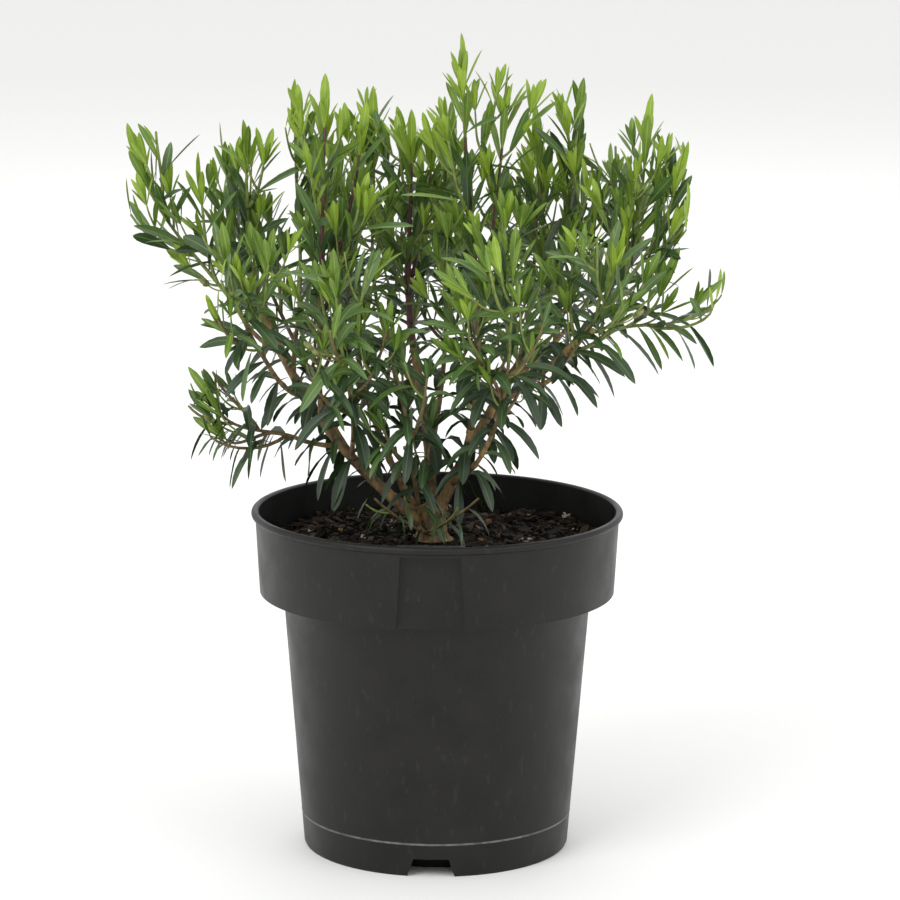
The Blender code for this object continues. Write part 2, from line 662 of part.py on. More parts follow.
def leaves_on(name, route, owner, spaces, first, taken, group):
    """Leaves at golden-angle steps along a shoot, upright near its tip, arched lower down.

    A leaf that would leave the mass's space, or touch a limb or what is already taken, turns
    on round its shoot, and is left out where no turn suits it.
    """
    chance = random.Random(name)
    form, faces = leaf_form()
    length = sum((end - start).length for start, end in zip(route, route[1:]))
    count = max(1, round((length - first) / LEAF_SPACING))
    turn = chance.uniform(0.0, math.tau)
    for index in range(count + 1):
        at_tip = index == count
        share = 0.97 if at_tip else min(0.95, (first + index * LEAF_SPACING) / length)
        root, along = point_along(route, share)
        low = max(0.0, 1.0 - (root.z - MIX_TOP) / 0.13)
        lean = 0.08 if at_tip else math.radians(28 + 30 * (1.0 - share) + 18 * low)
        droop = 0.0 if at_tip else 0.15 + 0.9 * low
        size = leaf_size(share, at_tip, chance)
        for attempt in range(LEAF_TRIES):
            turn += GOLDEN_TURN
            smaller = 1.0 - 0.04 * attempt
            across = along.orthogonal().normalized()
            across.rotate(Matrix.Rotation(turn, 3, along))
            outward = across.cross(along).normalized()
            heading = along * math.cos(lean * smaller) + outward * math.sin(lean * smaller)
            corners = leaf_corners(
                form, root - heading * LEAF_SINK, heading, across, size * smaller, droop)
            if not spaces.holds(leaf_outline(corners, faces), owner):
                continue
            tree = BVHTree.FromPolygons(corners, faces)
            if spaces.misses_limbs(tree) and not any(tree.overlap(other) for other in taken):
                taken.append(tree)
                mesh = bpy.data.meshes.new(f"{name}_leaf_{index}")
                mesh.from_pydata(corners, [], faces)
                group.objects.link(bpy.data.objects.new(mesh.name, mesh))
                break


def tapering(base, tip, count):
    return [base + (tip - base) * index / (count - 1) for index in range(count)]


def make_mass(mass, owner, leaders, base_radius, spaces, group):
    """One mass: its stem, with every shoot and leaf fused on."""
    radii = tapering(base_radius, SHOOT_TIP_RADIUS, len(leaders[0]))
    stem = swept(mass.name, leaders[0], radii, SHOOT_SIDES, group)
    pieces = collection(mass.name + "_pieces")
    shoots = [(leaders[0], 0.006, tree_of(stem))]
    for number, route in enumerate(leaders[1:] + spray_routes(mass, owner, leaders[0], spaces)):
        radii = tapering(SPRAY_RADIUS, SHOOT_TIP_RADIUS, len(route))
        shoot = swept(f"{mass.name}_shoot_{number}", route, radii, SHOOT_SIDES, pieces)
        tree = tree_of(shoot)
        if spaces.misses_limbs(tree):
            shoots.append((route, 0.008, tree))
        else:
            bpy.data.objects.remove(shoot, do_unlink=True)
    leaves = []
    for number, (route, first, own) in enumerate(shoots):
        taken = leaves + [tree for _, _, tree in shoots if tree is not own]
        known = len(taken)
        leaves_on(f"{mass.name}_{number}", route, owner, spaces, first, taken, pieces)
        leaves += taken[known:]
    join = stem.modifiers.new("join", "BOOLEAN")
    join.operation = "UNION"
    join.operand_type = "COLLECTION"
    join.collection = pieces
    apply_modifiers(stem)
    for piece in list(pieces.objects):
        bpy.data.objects.remove(piece, do_unlink=True)
    bpy.data.collections.remove(pieces)
    keep_main_body(stem)
    return stem


def make_foliage(routes, rooms, group):
    greens = finish_of("leaf_green", (0.055, 0.115, 0.022), 0.5)
    leaders = [leaders_of(mass, routes) for mass in MASSES]
    tip_radii = {limb.name: limb.tip_radius for limb in LIMBS}
    trees = []
    for room in rooms.values():
        bm = bmesh.new()
        bm.from_mesh(room.data)
        trees.append(BVHTree.FromBMesh(bm))
        bm.free()
    spaces = Spaces(leaders, trees)
    for owner, mass in enumerate(MASSES):
        made = make_mass(mass, owner, leaders[owner], tip_radii.get(mass.limb, SPRAY_RADIUS), spaces, group)
        made.data.materials.clear()
        made.data.materials.append(greens)


def main():
    clear_scene()
    parts = collection("potted_emu_bush")
    cutters = collection("cutters")
    pot = make_pot(parts, cutters)
    pot.data.shade_smooth()
    pot.data.set_sharp_from_angle(angle=math.radians(35))
    make_mix(parts, cutters)
    routes, rooms = make_limbs(parts, cutters)
    make_foliage(routes, rooms, parts)


main()
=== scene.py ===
# %% [markdown]
# # A potted emu bush
#
# This lesson dresses a young flowering shrub in a black nursery pot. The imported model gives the
# solids, which say where every limb, mass of leaves and wall of the pot lies. Here each of them
# is made again as it looks: moulded plastic, bark chips, stems with a real bark, and leaves in
# their own outline. Everything is in metres, with the floor at Z = 0.

# %% Load the frame
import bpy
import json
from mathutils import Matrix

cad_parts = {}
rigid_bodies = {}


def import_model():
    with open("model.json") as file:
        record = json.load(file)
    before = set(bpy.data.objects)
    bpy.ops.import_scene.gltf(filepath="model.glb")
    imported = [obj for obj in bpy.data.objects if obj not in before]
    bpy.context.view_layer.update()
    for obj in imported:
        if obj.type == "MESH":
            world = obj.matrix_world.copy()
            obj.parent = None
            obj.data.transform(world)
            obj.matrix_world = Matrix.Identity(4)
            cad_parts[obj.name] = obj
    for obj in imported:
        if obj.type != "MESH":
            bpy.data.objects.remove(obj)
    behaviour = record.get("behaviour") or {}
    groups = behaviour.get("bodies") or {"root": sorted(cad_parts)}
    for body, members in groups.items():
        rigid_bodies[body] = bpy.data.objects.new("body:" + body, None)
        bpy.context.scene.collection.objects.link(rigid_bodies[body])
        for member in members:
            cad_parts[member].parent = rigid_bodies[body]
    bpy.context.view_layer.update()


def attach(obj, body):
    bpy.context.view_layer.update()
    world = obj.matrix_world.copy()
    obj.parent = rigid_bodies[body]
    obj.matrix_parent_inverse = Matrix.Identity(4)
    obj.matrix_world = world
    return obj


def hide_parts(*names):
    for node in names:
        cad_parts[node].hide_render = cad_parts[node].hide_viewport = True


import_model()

# %% Tools of the lesson
import json
import math
import random
from collections import namedtuple

import bmesh
import bpy
import numpy as np
from mathutils import Matrix, Vector, noise

UP = Vector((0.0, 0.0, 1.0))
GOLDEN_TURN = math.radians(137.5)
print("Blender", bpy.app.version_string)

# %% [markdown]
# ## Camera, floor and light
#
# The plant was photographed from about two metres with a long lens, looking down a little, so
# its lines hardly converge. A wide pale floor fills the view behind it. A bright sky lights it
# from all round, and three large lamps help: one up on the left, a weaker one on the right and
# one at the back. Large lamps far off give a pot pale sides and no hard shadow.

# %% Camera
CAMERA_PLACE = (0.0061, -1.9444, 0.5831)
CAMERA_PITCH = math.radians(11.22)
CAMERA_ROLL = math.radians(0.3)
LENS = 162.1
SENSOR = 36.0

camera_data = bpy.data.cameras.new("camera")
camera_data.lens = LENS
camera_data.sensor_width = SENSOR
camera = bpy.data.objects.new("camera", camera_data)
camera.matrix_world = (
    Matrix.Translation(CAMERA_PLACE)
    @ Matrix.Rotation(0.5 * math.pi - CAMERA_PITCH, 4, "X")
    @ Matrix.Rotation(CAMERA_ROLL, 4, "Z")
)
bpy.context.scene.collection.objects.link(camera)
bpy.context.scene.camera = camera
bpy.context.scene.view_settings.view_transform = "Standard"
print("camera at", CAMERA_PLACE)

# %% Floor, sky and lamps
FLOOR_SIZE = 40.0
FLOOR_COLOUR = (0.88, 0.88, 0.87, 1.0)
FLOOR_ROUGHNESS = 0.9
SKY_COLOUR = (1.0, 1.0, 1.0, 1.0)
SKY_STRENGTH = 0.96
LAMPS = {
    "key_lamp": ((-1.3, -1.7, 2.1), 1.4, 30.0),
    "fill_lamp": ((1.7, -1.0, 1.3), 1.6, 9.0),
    "rear_lamp": ((0.2, 1.9, 1.9), 1.6, 12.0),
}
LAMP_TARGET = Vector((0.0, 0.0, 0.2))

bpy.ops.mesh.primitive_plane_add(size=FLOOR_SIZE)
floor = bpy.context.object
floor.name = "floor"
floor_finish = bpy.data.materials.new("pale_floor")
floor_finish.use_nodes = True
floor_surface = floor_finish.node_tree.nodes["Principled BSDF"]
floor_surface.inputs["Base Color"].default_value = FLOOR_COLOUR
floor_surface.inputs["Roughness"].default_value = FLOOR_ROUGHNESS
floor.data.materials.append(floor_finish)

sky = bpy.data.worlds.new("soft_white")
sky.use_nodes = True
sky_light = sky.node_tree.nodes["Background"]
sky_light.inputs["Color"].default_value = SKY_COLOUR
sky_light.inputs["Strength"].default_value = SKY_STRENGTH
bpy.context.scene.world = sky

for name, (place, size, power) in LAMPS.items():
    lamp_data = bpy.data.lights.new(name, "AREA")
    lamp_data.size = size
    lamp_data.energy = power
    lamp = bpy.data.objects.new(name, lamp_data)
    lamp.location = place
    lamp.rotation_euler = (LAMP_TARGET - Vector(place)).to_track_quat("-Z", "Y").to_euler()
    bpy.context.scene.collection.objects.link(lamp)
print("lamps:", ", ".join(LAMPS))

# %% [markdown]
# ## Effects that several finishes share
#
# Plastic, bark, chips and leaves all vary a little from place to place, and all have a fine
# relief that is too small to model. Both effects are built once as node groups. Each finish
# then places them with its own colours and scale. Images could do this too, but they would need
# an unwrapped mesh, while a group reads the object's own coordinates. Those are metres here, so
# a scale of 100 gives marks of about 10 mm.

# %% An empty node group
def new_group(name, inputs, outputs):
    """An empty shader group with its sockets, and the nodes at both of its ends."""
    tree = bpy.data.node_groups.new(name, "ShaderNodeTree")
    for label, kind, value in inputs:
        socket = tree.interface.new_socket(name=label, in_out="INPUT", socket_type=kind)
        socket.default_value = value
    for label, kind in outputs:
        tree.interface.new_socket(name=label, in_out="OUTPUT", socket_type=kind)
    return tree, tree.nodes.new("NodeGroupInput"), tree.nodes.new("NodeGroupOutput")


print("groups so far:", len(bpy.data.node_groups))

# %% The mottle
MOTTLE_DETAIL = 4.0
MOTTLE_LOW = 0.34
MOTTLE_HIGH = 0.66
# A Mix node keeps its colour sockets at these places, after those for plain numbers.
COLOUR_A = 6
COLOUR_B = 7
COLOUR_RESULT = 2


def mottle_group():
    """Two colours that drift into each other in soft marks."""
    tree, ins, outs = new_group(
        "soft_mottle",
        [
            ("Dark", "NodeSocketColor", (0.0, 0.0, 0.0, 1.0)),
            ("Light", "NodeSocketColor", (1.0, 1.0, 1.0, 1.0)),
            ("Scale", "NodeSocketFloat", 100.0),
            ("Stretch", "NodeSocketVector", (1.0, 1.0, 1.0)),
        ],
        [("Color", "NodeSocketColor"), ("Mask", "NodeSocketFloat")],
    )
    place = tree.nodes.new("ShaderNodeTexCoord")
    stretch = tree.nodes.new("ShaderNodeVectorMath")
    stretch.operation = "MULTIPLY"
    marks = tree.nodes.new("ShaderNodeTexNoise")
    marks.inputs["Detail"].default_value = MOTTLE_DETAIL
    spread = tree.nodes.new("ShaderNodeMapRange")
    spread.inputs["From Min"].default_value = MOTTLE_LOW
    spread.inputs["From Max"].default_value = MOTTLE_HIGH
    blend = tree.nodes.new("ShaderNodeMix")
    blend.data_type = "RGBA"
    link = tree.links.new
    link(place.outputs["Object"], stretch.inputs[0])
    link(ins.outputs["Stretch"], stretch.inputs[1])
    link(stretch.outputs["Vector"], marks.inputs["Vector"])
    link(ins.outputs["Scale"], marks.inputs["Scale"])
    link(marks.outputs["Fac"], spread.inputs["Value"])
    link(spread.outputs["Result"], blend.inputs["Factor"])
    link(ins.outputs["Dark"], blend.inputs[COLOUR_A])
    link(ins.outputs["Light"], blend.inputs[COLOUR_B])
    link(blend.outputs[COLOUR_RESULT], outs.inputs["Color"])
    link(spread.outputs["Result"], outs.inputs["Mask"])
    return tree


MOTTLE = mottle_group()
print("made:", MOTTLE.name)

# %% The relief
RELIEF_DETAIL = 6.0
RELIEF_STRENGTH = 0.8


def relief_group():
    """A fine uneven surface, as a normal."""
    tree, ins, outs = new_group(
        "fine_relief",
        [
            ("Scale", "NodeSocketFloat", 900.0),
            ("Depth", "NodeSocketFloat", 0.0002),
            ("Stretch", "NodeSocketVector", (1.0, 1.0, 1.0)),
        ],
        [("Normal", "NodeSocketVector")],
    )
    place = tree.nodes.new("ShaderNodeTexCoord")
    stretch = tree.nodes.new("ShaderNodeVectorMath")
    stretch.operation = "MULTIPLY"
    grain = tree.nodes.new("ShaderNodeTexNoise")
    grain.inputs["Detail"].default_value = RELIEF_DETAIL
    bump = tree.nodes.new("ShaderNodeBump")
    bump.inputs["Strength"].default_value = RELIEF_STRENGTH
    link = tree.links.new
    link(place.outputs["Object"], stretch.inputs[0])
    link(ins.outputs["Stretch"], stretch.inputs[1])
    link(stretch.outputs["Vector"], grain.inputs["Vector"])
    link(ins.outputs["Scale"], grain.inputs["Scale"])
    link(grain.outputs["Fac"], bump.inputs["Height"])
    link(ins.outputs["Depth"], bump.inputs["Distance"])
    link(bump.outputs["Normal"], outs.inputs["Normal"])
    return tree


RELIEF = relief_group()
print("made:", RELIEF.name)

# %% [markdown]
# A finish is one Principled shader. The mottle gives its colour and, through a range, how
# polished each place is. The relief gives its normal. What is the same all over the surface
# is set on the shader itself.

# %% One finish from the shared effects
EVEN = (1.0, 1.0, 1.0)


def finish(name, dark, light, scale, rough, grain, depth, stretch=EVEN, shine=0.5):
    """A material whose colour, polish and relief vary; `rough` is its range of roughness."""
    material = bpy.data.materials.new(name)
    material.use_nodes = True
    nodes = material.node_tree.nodes
    link = material.node_tree.links.new
    surface = nodes["Principled BSDF"]
    surface.inputs["Specular IOR Level"].default_value = shine
    mottle = nodes.new("ShaderNodeGroup")
    mottle.node_tree = MOTTLE
    mottle.name = "mottle"
    mottle.inputs["Dark"].default_value = (*dark, 1.0)
    mottle.inputs["Light"].default_value = (*light, 1.0)
    mottle.inputs["Scale"].default_value = scale
    mottle.inputs["Stretch"].default_value = stretch
    polish = nodes.new("ShaderNodeMapRange")
    polish.inputs["To Min"].default_value = rough[0]
    polish.inputs["To Max"].default_value = rough[1]
    relief = nodes.new("ShaderNodeGroup")
    relief.node_tree = RELIEF
    relief.inputs["Scale"].default_value = grain
    relief.inputs["Depth"].default_value = depth
    relief.inputs["Stretch"].default_value = stretch
    link(mottle.outputs["Color"], surface.inputs["Base Color"])
    link(mottle.outputs["Mask"], polish.inputs["Value"])
    link(polish.outputs["Result"], surface.inputs["Roughness"])
    link(relief.outputs["Normal"], surface.inputs["Normal"])
    return material


print("nodes of a finish: a mottle, a range of polish, a relief and the surface")

# %% [markdown]
# Some finishes have rarer marks as well: scuffs on the plastic, gold on the bark. A second mottle
# with its own scale finds their places, and only the highest part of it shows.

# %% Marks over a finish
def scuffed(material, colour, scale, start, most, stretch):
    """Paler marks over a finish, where a second coarse noise is highest."""
    nodes = material.node_tree.nodes
    link = material.node_tree.links.new
    surface = nodes["Principled BSDF"]
    marks = nodes.new("ShaderNodeGroup")
    marks.node_tree = MOTTLE
    marks.inputs["Scale"].default_value = scale
    marks.inputs["Stretch"].default_value = stretch
    only = nodes.new("ShaderNodeMapRange")
    only.inputs["From Min"].default_value = start
    only.inputs["To Max"].default_value = most
    over = nodes.new("ShaderNodeMix")
    over.data_type = "RGBA"
    over.inputs[COLOUR_B].default_value = (*colour, 1.0)
    link(marks.outputs["Mask"], only.inputs["Value"])
    link(only.outputs["Result"], over.inputs["Factor"])
    link(nodes["mottle"].outputs["Color"], over.inputs[COLOUR_A])
    link(over.outputs[COLOUR_RESULT], surface.inputs["Base Color"])
    return material


def show(thing, replaces=()):
    """Let a finished piece ride on the model and stand for its solids."""
    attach(thing, "root")
    if replaces:
        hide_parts(*replaces)
    return thing


print("slots of the model: black_plastic, bark_mix, bark, foliage")

# %% [markdown]
# ## The pot
#
# A nursery pot is injection moulded in one piece: a tapered body, a wide collar with a rolled
# lip, and a foot with a channel round its floor. It could be stacked from cones and cylinders,
# but its wall is really one closed profile, so a Screw modifier turns that into a solid. Corners
# stay sharp in the profile, because a Bevel modifier rounds them later and gives the narrow new
# faces their own slot: a paler colour there paints the highlight that these edges catch.

# %% Sizes of the pot
POT_STEPS = 144
RIM_HEIGHT = 0.1684
LIP_RADIUS = 0.0912
LIP_DROP = 0.0038
COLLAR_TOP_RADIUS = 0.0892
COLLAR_FOOT_RADIUS = 0.0871
COLLAR_FOOT = 0.1276
BODY_TOP_RADIUS = 0.0755
BASE_RADIUS = 0.0653
WALL = 0.0016
CHANNEL_HEIGHT = 0.0095
CHANNEL_INNER_RADIUS = 0.0490
POT_TURN = math.radians(-1.8)
DRAIN_COUNT = 3
NOTCH_HEIGHT = 0.0090
NOTCH_TOP_WIDTH = 0.0172
NOTCH_FOOT_WIDTH = 0.0229
DRAIN_DIAMETER = 0.0070
SEAM_HEIGHT = 0.0165
SEAM_RISE = 0.00012
SEAM_WIDTH = 0.0005
RECESS_TOP = 0.1632
RECESS_TOP_WIDTH = 0.0288
RECESS_FOOT_WIDTH = 0.0330
RECESS_PLANE = 0.0826


def body_radius(height):
    """Outer radius of the pot's tapered body."""
    return BASE_RADIUS + (BODY_TOP_RADIUS - BASE_RADIUS) * height / COLLAR_FOOT


def arc(middle, across, rise, first, last, count):
    """Points on an oval arc, between two angles in degrees."""
    angles = np.radians(np.linspace(first, last, count))
    return [(middle[0] + across * math.cos(a), middle[1] + rise * math.sin(a)) for a in angles]


print("pot:", 2 * LIP_RADIUS, "m across,", RIM_HEIGHT, "m tall")

# %% The pot's profile, from the axis inside, over the lip and down to the axis below
def pot_inside():
    floor = CHANNEL_HEIGHT + WALL
    ledge = COLLAR_FOOT + WALL
    collar = COLLAR_FOOT_RADIUS - WALL
    return [
        (0.0, WALL),
        (CHANNEL_INNER_RADIUS - 0.75 * WALL, WALL),
        (CHANNEL_INNER_RADIUS, floor),
        (body_radius(floor) - WALL, floor),
        (BODY_TOP_RADIUS - WALL, ledge - 0.5 * WALL),
        (BODY_TOP_RADIUS - 0.5 * WALL, ledge),
        (collar - 0.8 * WALL, ledge + 0.2 * WALL),
        (collar, ledge + WALL),
        (COLLAR_TOP_RADIUS - WALL, RIM_HEIGHT - LIP_DROP),
    ]


LIP_OFFSET = 0.0001
LIP_FIRST_ANGLE = 150.0
LIP_LAST_ANGLE = -70.0
LIP_POINTS = 15


def pot_lip():
    middle = (COLLAR_TOP_RADIUS + LIP_OFFSET, RIM_HEIGHT - 0.5 * LIP_DROP)
    return arc(middle, LIP_RADIUS - middle[0], 0.5 * LIP_DROP, LIP_FIRST_ANGLE, LIP_LAST_ANGLE,
               LIP_POINTS)


UNDER_LIP = 0.0004
SHOULDER_REACH = 0.0008
SHOULDER_DROP = 0.0012
FOOT_ROUND_HEIGHT = 0.0014
FOOT_ROUND_REACH = 0.0006


def pot_outside():
    under_lip = RIM_HEIGHT - LIP_DROP - UNDER_LIP
    skirt = body_radius(CHANNEL_HEIGHT) - WALL
    seam = [
        (body_radius(SEAM_HEIGHT + SEAM_WIDTH), SEAM_HEIGHT + SEAM_WIDTH),
        (body_radius(SEAM_HEIGHT) + SEAM_RISE, SEAM_HEIGHT),
        (body_radius(SEAM_HEIGHT - SEAM_WIDTH), SEAM_HEIGHT - SEAM_WIDTH),
    ]
    return [
        (COLLAR_TOP_RADIUS, under_lip),
        (COLLAR_FOOT_RADIUS, COLLAR_FOOT),
        (BODY_TOP_RADIUS + SHOULDER_REACH, COLLAR_FOOT),
        (BODY_TOP_RADIUS, COLLAR_FOOT - SHOULDER_DROP),
        *seam,
        (body_radius(FOOT_ROUND_HEIGHT), FOOT_ROUND_HEIGHT),
        (BASE_RADIUS - FOOT_ROUND_REACH, 0.0),
        (BASE_RADIUS - WALL, 0.0),
        (skirt, CHANNEL_HEIGHT),
        (CHANNEL_INNER_RADIUS + 0.5 * WALL, CHANNEL_HEIGHT),
        (CHANNEL_INNER_RADIUS, 0.0),
        (0.0, 0.0),
    ]


POT_PROFILE = pot_inside() + pot_lip() + pot_outside()
print("points in the profile:", len(POT_PROFILE))

# %% [markdown]
# The label recess and the drains are cut with Booleans, as a maker would think of them. First
# the wall behind the recess is made, as a block that is trimmed by the inside of the collar, and
# is joined to the pot. Then the recess itself is taken away, open at the foot of the collar.

# %% Turning
MERGE = 0.00001


def object_from(bm, name):
    """The object that a finished bmesh becomes."""
    mesh = bpy.data.meshes.new(name)
    bm.to_mesh(mesh)
    bm.free()
    made = bpy.data.objects.new(name, mesh)
    bpy.context.scene.collection.objects.link(made)
    return made


def bake(thing):
    """Replace the object's mesh by what its modifiers make of it."""
    bpy.context.view_layer.update()
    evaluated = thing.evaluated_get(bpy.context.evaluated_depsgraph_get())
    mesh = bpy.data.meshes.new_from_object(evaluated)
    thing.modifiers.clear()
    thing.data = mesh
    return thing


def turned(name, profile, steps):
    """A closed solid turned round Z from a profile."""
    bm = bmesh.new()
    points = [bm.verts.new((radius, 0.0, height)) for radius, height in profile]
    for upper, lower in zip(points, points[1:]):
        bm.edges.new((upper, lower))
    made = object_from(bm, name)
    screw = made.modifiers.new("turn", "SCREW")
    screw.steps = steps
    screw.render_steps = steps
    screw.use_merge_vertices = True
    screw.merge_threshold = MERGE
    return bake(made)


print("steps round the pot:", POT_STEPS)

# %% Cutting
def tapered_block(name, foot_width, top_width, foot, top, near, far, turn):
    """A block with slanting sides, from `near` to `far` off the axis, turned about Z from -Y."""
    bm = bmesh.new()
    bmesh.ops.create_cube(bm, size=1.0)
    for corner in bm.verts:
        high = corner.co.z > 0.0
        width = top_width if high else foot_width
        reach = far if corner.co.y < 0.0 else near
        corner.co = Vector((corner.co.x * width, -reach, top if high else foot))
    bmesh.ops.rotate(bm, verts=bm.verts, cent=(0, 0, 0), matrix=Matrix.Rotation(turn, 3, "Z"))
    bmesh.ops.recalc_face_normals(bm, faces=bm.faces)
    return object_from(bm, name)


def shape_by(thing, operation, tool):
    """Apply one Boolean with a tool, and remove the tool."""
    cut = thing.modifiers.new("cut", "BOOLEAN")
    cut.operation = operation
    cut.object = tool
    bake(thing)
    bpy.data.objects.remove(tool, do_unlink=True)


print("cuts of the pot:", 1 + 2 * DRAIN_COUNT)

# %% The wall behind the recess
def recess_backing(name, extra=0.0):
    """The wall behind the label recess, up to the rim, grown by `extra` on every side."""
    side = 2.0 * (WALL + extra)
    foot = COLLAR_FOOT + 0.5 * WALL - extra
    top = RIM_HEIGHT - 0.5 * WALL + extra
    return tapered_block(
        name, RECESS_FOOT_WIDTH + side, RECESS_TOP_WIDTH + side, foot, top,
        RECESS_PLANE - WALL - extra, LIP_RADIUS, POT_TURN)


def collar_core():
    """All that lies within the middle of the collar's wall."""
    top = RIM_HEIGHT - 0.2 * WALL
    foot = COLLAR_FOOT + 0.4 * WALL
    profile = [
        (0.0, top),
        (COLLAR_TOP_RADIUS - 0.5 * WALL, top),
        (COLLAR_FOOT_RADIUS - 0.8 * WALL, foot),
        (0.0, foot),
    ]
    return turned("collar_core", profile, POT_STEPS)


print("width of the recess:", RECESS_TOP_WIDTH, "to", RECESS_FOOT_WIDTH)

# %% Make the pot
CUT_BELOW = 0.0020
DRAIN_SEGMENTS = 24


def cut_drain(pot, number):
    """A notch through the foot's skirt, and the drain hole in the channel behind it."""
    turn = POT_TURN + number * math.tau / DRAIN_COUNT
    spread = (NOTCH_FOOT_WIDTH - NOTCH_TOP_WIDTH) * CUT_BELOW / NOTCH_HEIGHT
    shape_by(pot, "DIFFERENCE", tapered_block(
        "drain_notch", NOTCH_FOOT_WIDTH + spread, NOTCH_TOP_WIDTH, -CUT_BELOW, NOTCH_HEIGHT,
        BASE_RADIUS - 3.0 * WALL, LIP_RADIUS, turn))
    middle = (0.0, -0.5 * (CHANNEL_INNER_RADIUS + BASE_RADIUS), CHANNEL_HEIGHT + 0.5 * WALL)
    bm = bmesh.new()
    bmesh.ops.create_cone(
        bm, cap_ends=True, segments=DRAIN_SEGMENTS, radius1=0.5 * DRAIN_DIAMETER,
        radius2=0.5 * DRAIN_DIAMETER, depth=3.0 * WALL,
        matrix=Matrix.Rotation(turn, 4, "Z") @ Matrix.Translation(middle))
    shape_by(pot, "DIFFERENCE", object_from(bm, "drain_hole"))


def make_pot():
    pot = turned("moulded_pot", POT_PROFILE, POT_STEPS)
    backing = recess_backing("recess_backing")
    shape_by(backing, "INTERSECT", collar_core())
    shape_by(pot, "UNION", backing)
    shape_by(pot, "DIFFERENCE", tapered_block(
        "label_recess", RECESS_FOOT_WIDTH, RECESS_TOP_WIDTH, COLLAR_FOOT - 2.0 * WALL, RECESS_TOP,
        RECESS_PLANE, LIP_RADIUS + WALL, POT_TURN))
    for number in range(DRAIN_COUNT):
        cut_drain(pot, number)
    return pot


pot = make_pot()
print("faces of the pot:", len(pot.data.polygons))

# %% [markdown]
# The plastic is a brownish black with a satin face. Handling leaves faint pale scuffs on it, and
# the moulding's edges and its seam near the foot catch the light as thin grey lines. That highlight
# is painted in, as a paler grey colour. An image could hold it, but it follows from the shape, so
# the shape finds its faces: the edges are the new faces of the Bevel, and the seam is known by its
# height.

# %% The pot's finishes
PLASTIC_DARK = (0.0085, 0.0080, 0.0076)
PLASTIC_LIGHT = (0.0125, 0.0118, 0.0112)
SCUFF = (0.16, 0.16, 0.155)
# Colours of the painted highlight along the moulding's edges and its seam.
EDGE_HIGHLIGHT_DARK = (0.050, 0.049, 0.047)
EDGE_HIGHLIGHT_LIGHT = (0.150, 0.147, 0.142)
EDGE_ANGLE = math.radians(42)
EDGE_ROUND = 0.00035
EDGE_SEGMENTS = 2
EDGE_HIGHLIGHT_SLOT = 1
SMOOTH_ANGLE = math.radians(32)

clean_plastic = finish(
    "black_moulded_plastic", PLASTIC_DARK, PLASTIC_LIGHT, scale=55.0, rough=(0.38, 0.50),
    grain=1500.0, depth=0.00006, shine=0.25)
plastic = scuffed(
    clean_plastic, SCUFF, scale=300.0, start=0.90, most=0.035, stretch=(1.0, 1.0, 0.35))
# The edges' finish is a painted highlight: a paler grey than the plastic.
rubbed_edge = finish(
    "rubbed_edge", EDGE_HIGHLIGHT_DARK, EDGE_HIGHLIGHT_LIGHT, scale=260.0, rough=(0.45, 0.60), grain=1500.0,
    depth=0.00006)

pot.data.materials.clear()
pot.data.materials.append(plastic)
pot.data.materials.append(rubbed_edge)
# The Bevel's new faces take the slot of the painted highlight.
rounding = pot.modifiers.new("rubbed_edges", "BEVEL")
rounding.limit_method = "ANGLE"
rounding.angle_limit = EDGE_ANGLE
rounding.width = EDGE_ROUND
rounding.segments = EDGE_SEGMENTS
rounding.material = EDGE_HIGHLIGHT_SLOT
bake(pot)
# The seam's faces get the painted highlight too.
for face in pot.data.polygons:
    outer = math.hypot(face.center.x, face.center.y) > BASE_RADIUS
    if outer and abs(face.center.z - SEAM_HEIGHT) < SEAM_WIDTH:
        face.material_index = EDGE_HIGHLIGHT_SLOT
pot.data.shade_smooth()
pot.data.set_sharp_from_angle(angle=SMOOTH_ANGLE)
show(pot, ["pot"])
print("faces with rounded edges:", len(pot.data.polygons))

# %% [markdown]
# ## The potting mix
#
# Composted bark fills the pot to just under the rim. A turned plug with a lumpy top gives the
# mass, and thousands of loose chips lie on it: flat splinters with an uneven outline, most of
# them nearly black, some brown or grey, a few tan or pale. Each chip is a bent prism. They are
# gathered in one mesh for each colour, because single objects by the thousand would be slow.

# %% A heap gathers many small shapes in one mesh
class Heap:
    """Corners and faces of many shapes, gathered for one joined mesh."""

    def __init__(self):
        self.corners = []
        self.faces = []
        self.slots = []

    def add(self, corners, faces, slots=None):
        base = len(self.corners)
        self.corners.extend(corners)
        self.faces.extend(tuple(base + index for index in face) for face in faces)
        self.slots.extend(slots or [0] * len(faces))

    def piece(self, name, materials, slot, replaces=(), smooth=True):
        mesh = bpy.data.meshes.new(name)
        mesh.from_pydata(self.corners, [], self.faces)
        for material in materials:
            mesh.materials.append(material)
        mesh.polygons.foreach_set("material_index", self.slots)
        if smooth:
            mesh.shade_smooth()
        made = bpy.data.objects.new(name, mesh)
        bpy.context.scene.collection.objects.link(made)
        print(f"{name}: {len(self.faces)} faces")
        return show(made, replaces)


print("a new heap has", len(Heap().faces), "faces")

# %% The top of the mix
MIX_TOP = 0.1522
MIX_EDGE_DROP = 0.0014
MIX_LUMP = 0.0030
MIX_LUMP_SCALE = 55.0
MIX_LUMP_LAYER = 0.3
MIX_GRAIN = 0.0009
MIX_GRAIN_SCALE = 260.0
MIX_GRAIN_LAYER = 1.7
MIX_SINK = 0.0008
MIX_CLEARANCE = 0.0004
TRUNK_CLEAR_RADIUS = 0.0120


def mix_edge_radius():
    """Where the mix meets the inside of the collar."""
    low, high = pot_inside()[-2:]
    share = (MIX_TOP - MIX_EDGE_DROP - low[1]) / (high[1] - low[1])
    return low[0] + share * (high[0] - low[0]) - MIX_CLEARANCE


MIX_RADIUS = mix_edge_radius()


